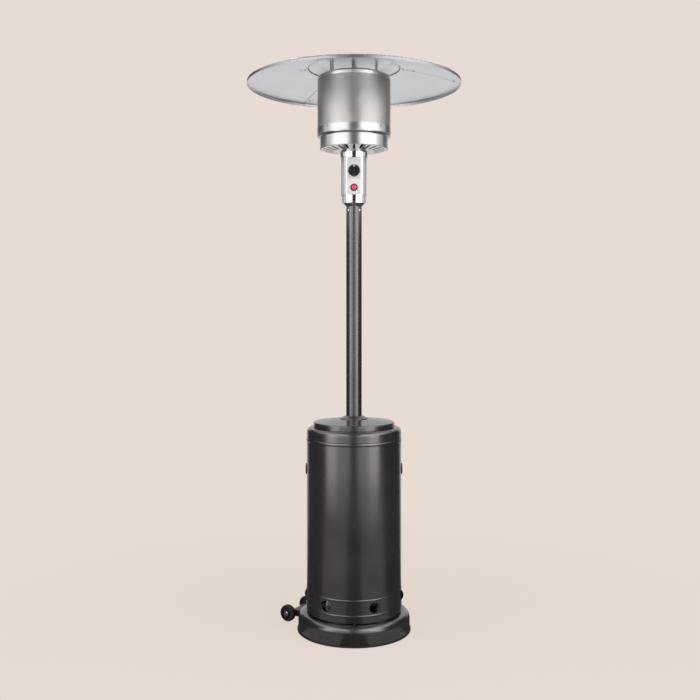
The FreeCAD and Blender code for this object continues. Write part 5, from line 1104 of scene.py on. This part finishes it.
def make_floor(settings):
    """A round pale floor that fades into the background away from the heater."""
    deselect()
    bpy.ops.mesh.primitive_circle_add(vertices=96, radius=FLOOR_RADIUS, fill_type="NGON",
                                      location=(0, 0, FLOOR_HEIGHT))
    floor = bpy.context.object
    floor.name = "stage_floor"
    apply_place(floor)
    finish = Finish("stage_floor", tuple(settings.background), 0.0, 0.8, Specular_IOR_Level=0.1)
    length = finish.node("VectorMath", {0: finish.place}, operation="LENGTH")
    far = finish.range(Value(finish, length.outputs["Value"]), FADE_START, FADE_END, FADE_LEAST, 1.0)
    glow = finish.node("Emission", {"Color": (*settings.background, 1.0), "Strength": 1.0})
    mix = finish.node("MixShader", {0: far, 1: finish.shader.outputs[0], 2: glow.outputs[0]})
    output = finish.tree.nodes["Material Output"]
    finish.tree.links.new(mix.outputs[0], output.inputs["Surface"])
    floor.data.materials.append(finish.material)


def seen_in_reflections(piece, name, glow):
    """Give a stage piece an even glow, and leave it to reflections alone."""
    piece.name = name
    finish = Finish(name, (0.0, 0.0, 0.0), 0.0, 1.0, Specular_IOR_Level=0.0)
    finish.set("Emission Color", (glow, glow, glow, 1.0))
    finish.set("Emission Strength", 1.0)
    piece.data.materials.append(finish.material)
    piece.visible_camera = False
    piece.visible_diffuse = False
    piece.visible_shadow = False


def azimuth(face):
    """Where a face lies round the axis, in degrees from the camera."""
    return degrees(atan2(face.center.x, -face.center.y))


def make_card(name, low, high, glow):
    """A level card round the heater, from one azimuth to the other."""
    deselect()
    bpy.ops.mesh.primitive_circle_add(vertices=180, radius=TENT_RADIUS, fill_type="TRIFAN",
                                      location=(0, 0, CARD_HEIGHT))
    card = bpy.context.object
    apply_place(card)
    edit_faces(card, lambda face: not low < azimuth(face) < high)
    bpy.ops.mesh.delete(type="FACE")
    seen_in_reflections(card, name, glow)


def make_tent():
    """A dark wall round the front and the sides, a pale one behind, and a dark card over the front."""
    for name, glow, behind in (("stage_wall", DARK, False), ("stage_back", PALE, True)):
        deselect()
        bpy.ops.mesh.primitive_cylinder_add(vertices=180, radius=TENT_RADIUS, depth=TENT_HEIGHT,
                                            end_fill_type="NOTHING", location=(0, 0, TENT_HEIGHT / 2))
        wall = bpy.context.object
        apply_place(wall)
        edit_faces(wall, lambda face: (abs(azimuth(face) + TENT_TURN) > TENT_SIDE) != behind)
        bpy.ops.mesh.delete(type="FACE")
        seen_in_reflections(wall, name, glow)
    deselect()
    bpy.ops.mesh.primitive_circle_add(vertices=96, radius=TENT_RADIUS, fill_type="NGON",
                                      location=(0, 0, TENT_HEIGHT))
    roof = bpy.context.object
    apply_place(roof)
    edit_all(roof)
    bpy.ops.mesh.bisect(plane_co=(0, 0, 0), plane_no=(0, 1, 0), clear_outer=True)
    seen_in_reflections(roof, "stage_roof", DARK)


def make_cards():
    """Cards on the ground: dark towards the camera and at the sides, grey between, pale behind."""
    for side, hand in ((-1, "left"), (1, "right")):
        for place, start, end, glow in SIDE_CARDS:
            low, high = sorted((side * start, side * end))
            make_card(f"stage_card_{hand}_{place}", low, high, glow)
    make_card("stage_card_back_right", CARD_BACK, 180, PALE)
    make_card("stage_card_back_left", -180, -CARD_BACK, PALE)


def make_lamp(name, turn, span, low, high, glow):
    """A soft lamp that faces the heater and takes up a span of angle and of height at a glow."""
    data = bpy.data.lights.new(name, "AREA")
    data.shape = "RECTANGLE"
    data.size = 2 * LAMP_DISTANCE * tan(radians(span / 2))
    data.size_y = high - low
    data.energy = glow * pi * data.size * data.size_y
    lamp = bpy.data.objects.new(name, data)
    bpy.context.scene.collection.objects.link(lamp)
    angle = radians(turn)
    lamp.location = (LAMP_DISTANCE * sin(angle), -LAMP_DISTANCE * cos(angle), (low + high) / 2)
    lamp.rotation_euler = (pi / 2, 0, angle)
    lamp.visible_camera = False


def make_lamps(settings):
    """Tall lamps on each side of the camera: narrow with a weak inner edge below, wide above."""
    zones = (("low", LAMP_LOW, LAMP_MIDDLE, 1.0), ("middle", LAMP_MIDDLE, LAMP_CHANGE, MIDDLE_GAIN))
    for zone, low, high, gain in zones:
        for name, turn, span, share in LAMPS:
            make_lamp(f"lamp_{name}_{zone}", turn, span, low, high, settings.lamp_glow * gain * share)
    for name, turn, span, share, top in HIGH_LAMPS:
        make_lamp(f"lamp_{name}", turn, span, LAMP_CHANGE, top, settings.lamp_glow * share)


def make_camera(scene):
    """A camera at eye height, level, with its frame shifted down."""
    data = bpy.data.cameras.new("camera")
    data.lens = CAMERA_LENS
    data.sensor_width = CAMERA_SENSOR
    data.shift_y = CAMERA_SHIFT
    camera = bpy.data.objects.new("camera", data)
    scene.collection.objects.link(camera)
    camera.location = CAMERA_PLACE
    camera.rotation_euler = (pi / 2, 0.0, 0.0)
    scene.camera = camera
    scene.view_settings.view_transform = "Standard"


SETTINGS = {
    "heater_screen": ScreenSettings,
    "heater_marks": MarkSettings,
    "heater_rings": RingSettings,
    "heater_seam": SeamSettings,
    "heater_slots": SlotSettings,
    "heater_recesses": RecessSettings,
    "heater_stage": StageSettings,
}
OPERATORS = (HEATER_OT_finishes, HEATER_OT_screen, HEATER_OT_marks, HEATER_OT_rings, HEATER_OT_seam,
             HEATER_OT_slots, HEATER_OT_recesses, HEATER_OT_stage)
CLASSES = (*SETTINGS.values(), *OPERATORS, HEATER_PT_panel)


def register():
    for group in CLASSES:
        bpy.utils.register_class(group)
    for name, group in SETTINGS.items():
        setattr(bpy.types.Scene, name, bpy.props.PointerProperty(type=group))


def unregister():
    for name in SETTINGS:
        delattr(bpy.types.Scene, name)
    for group in reversed(CLASSES):
        bpy.utils.unregister_class(group)


def main():
    register()
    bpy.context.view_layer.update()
    bpy.ops.heater.finishes()
    bpy.ops.heater.screen()
    bpy.ops.heater.marks()
    bpy.ops.heater.rings()
    bpy.ops.heater.seam()
    bpy.ops.heater.slots()
    bpy.ops.heater.recesses()
    bpy.ops.heater.stage()


if __name__ == "__main__":
    main()
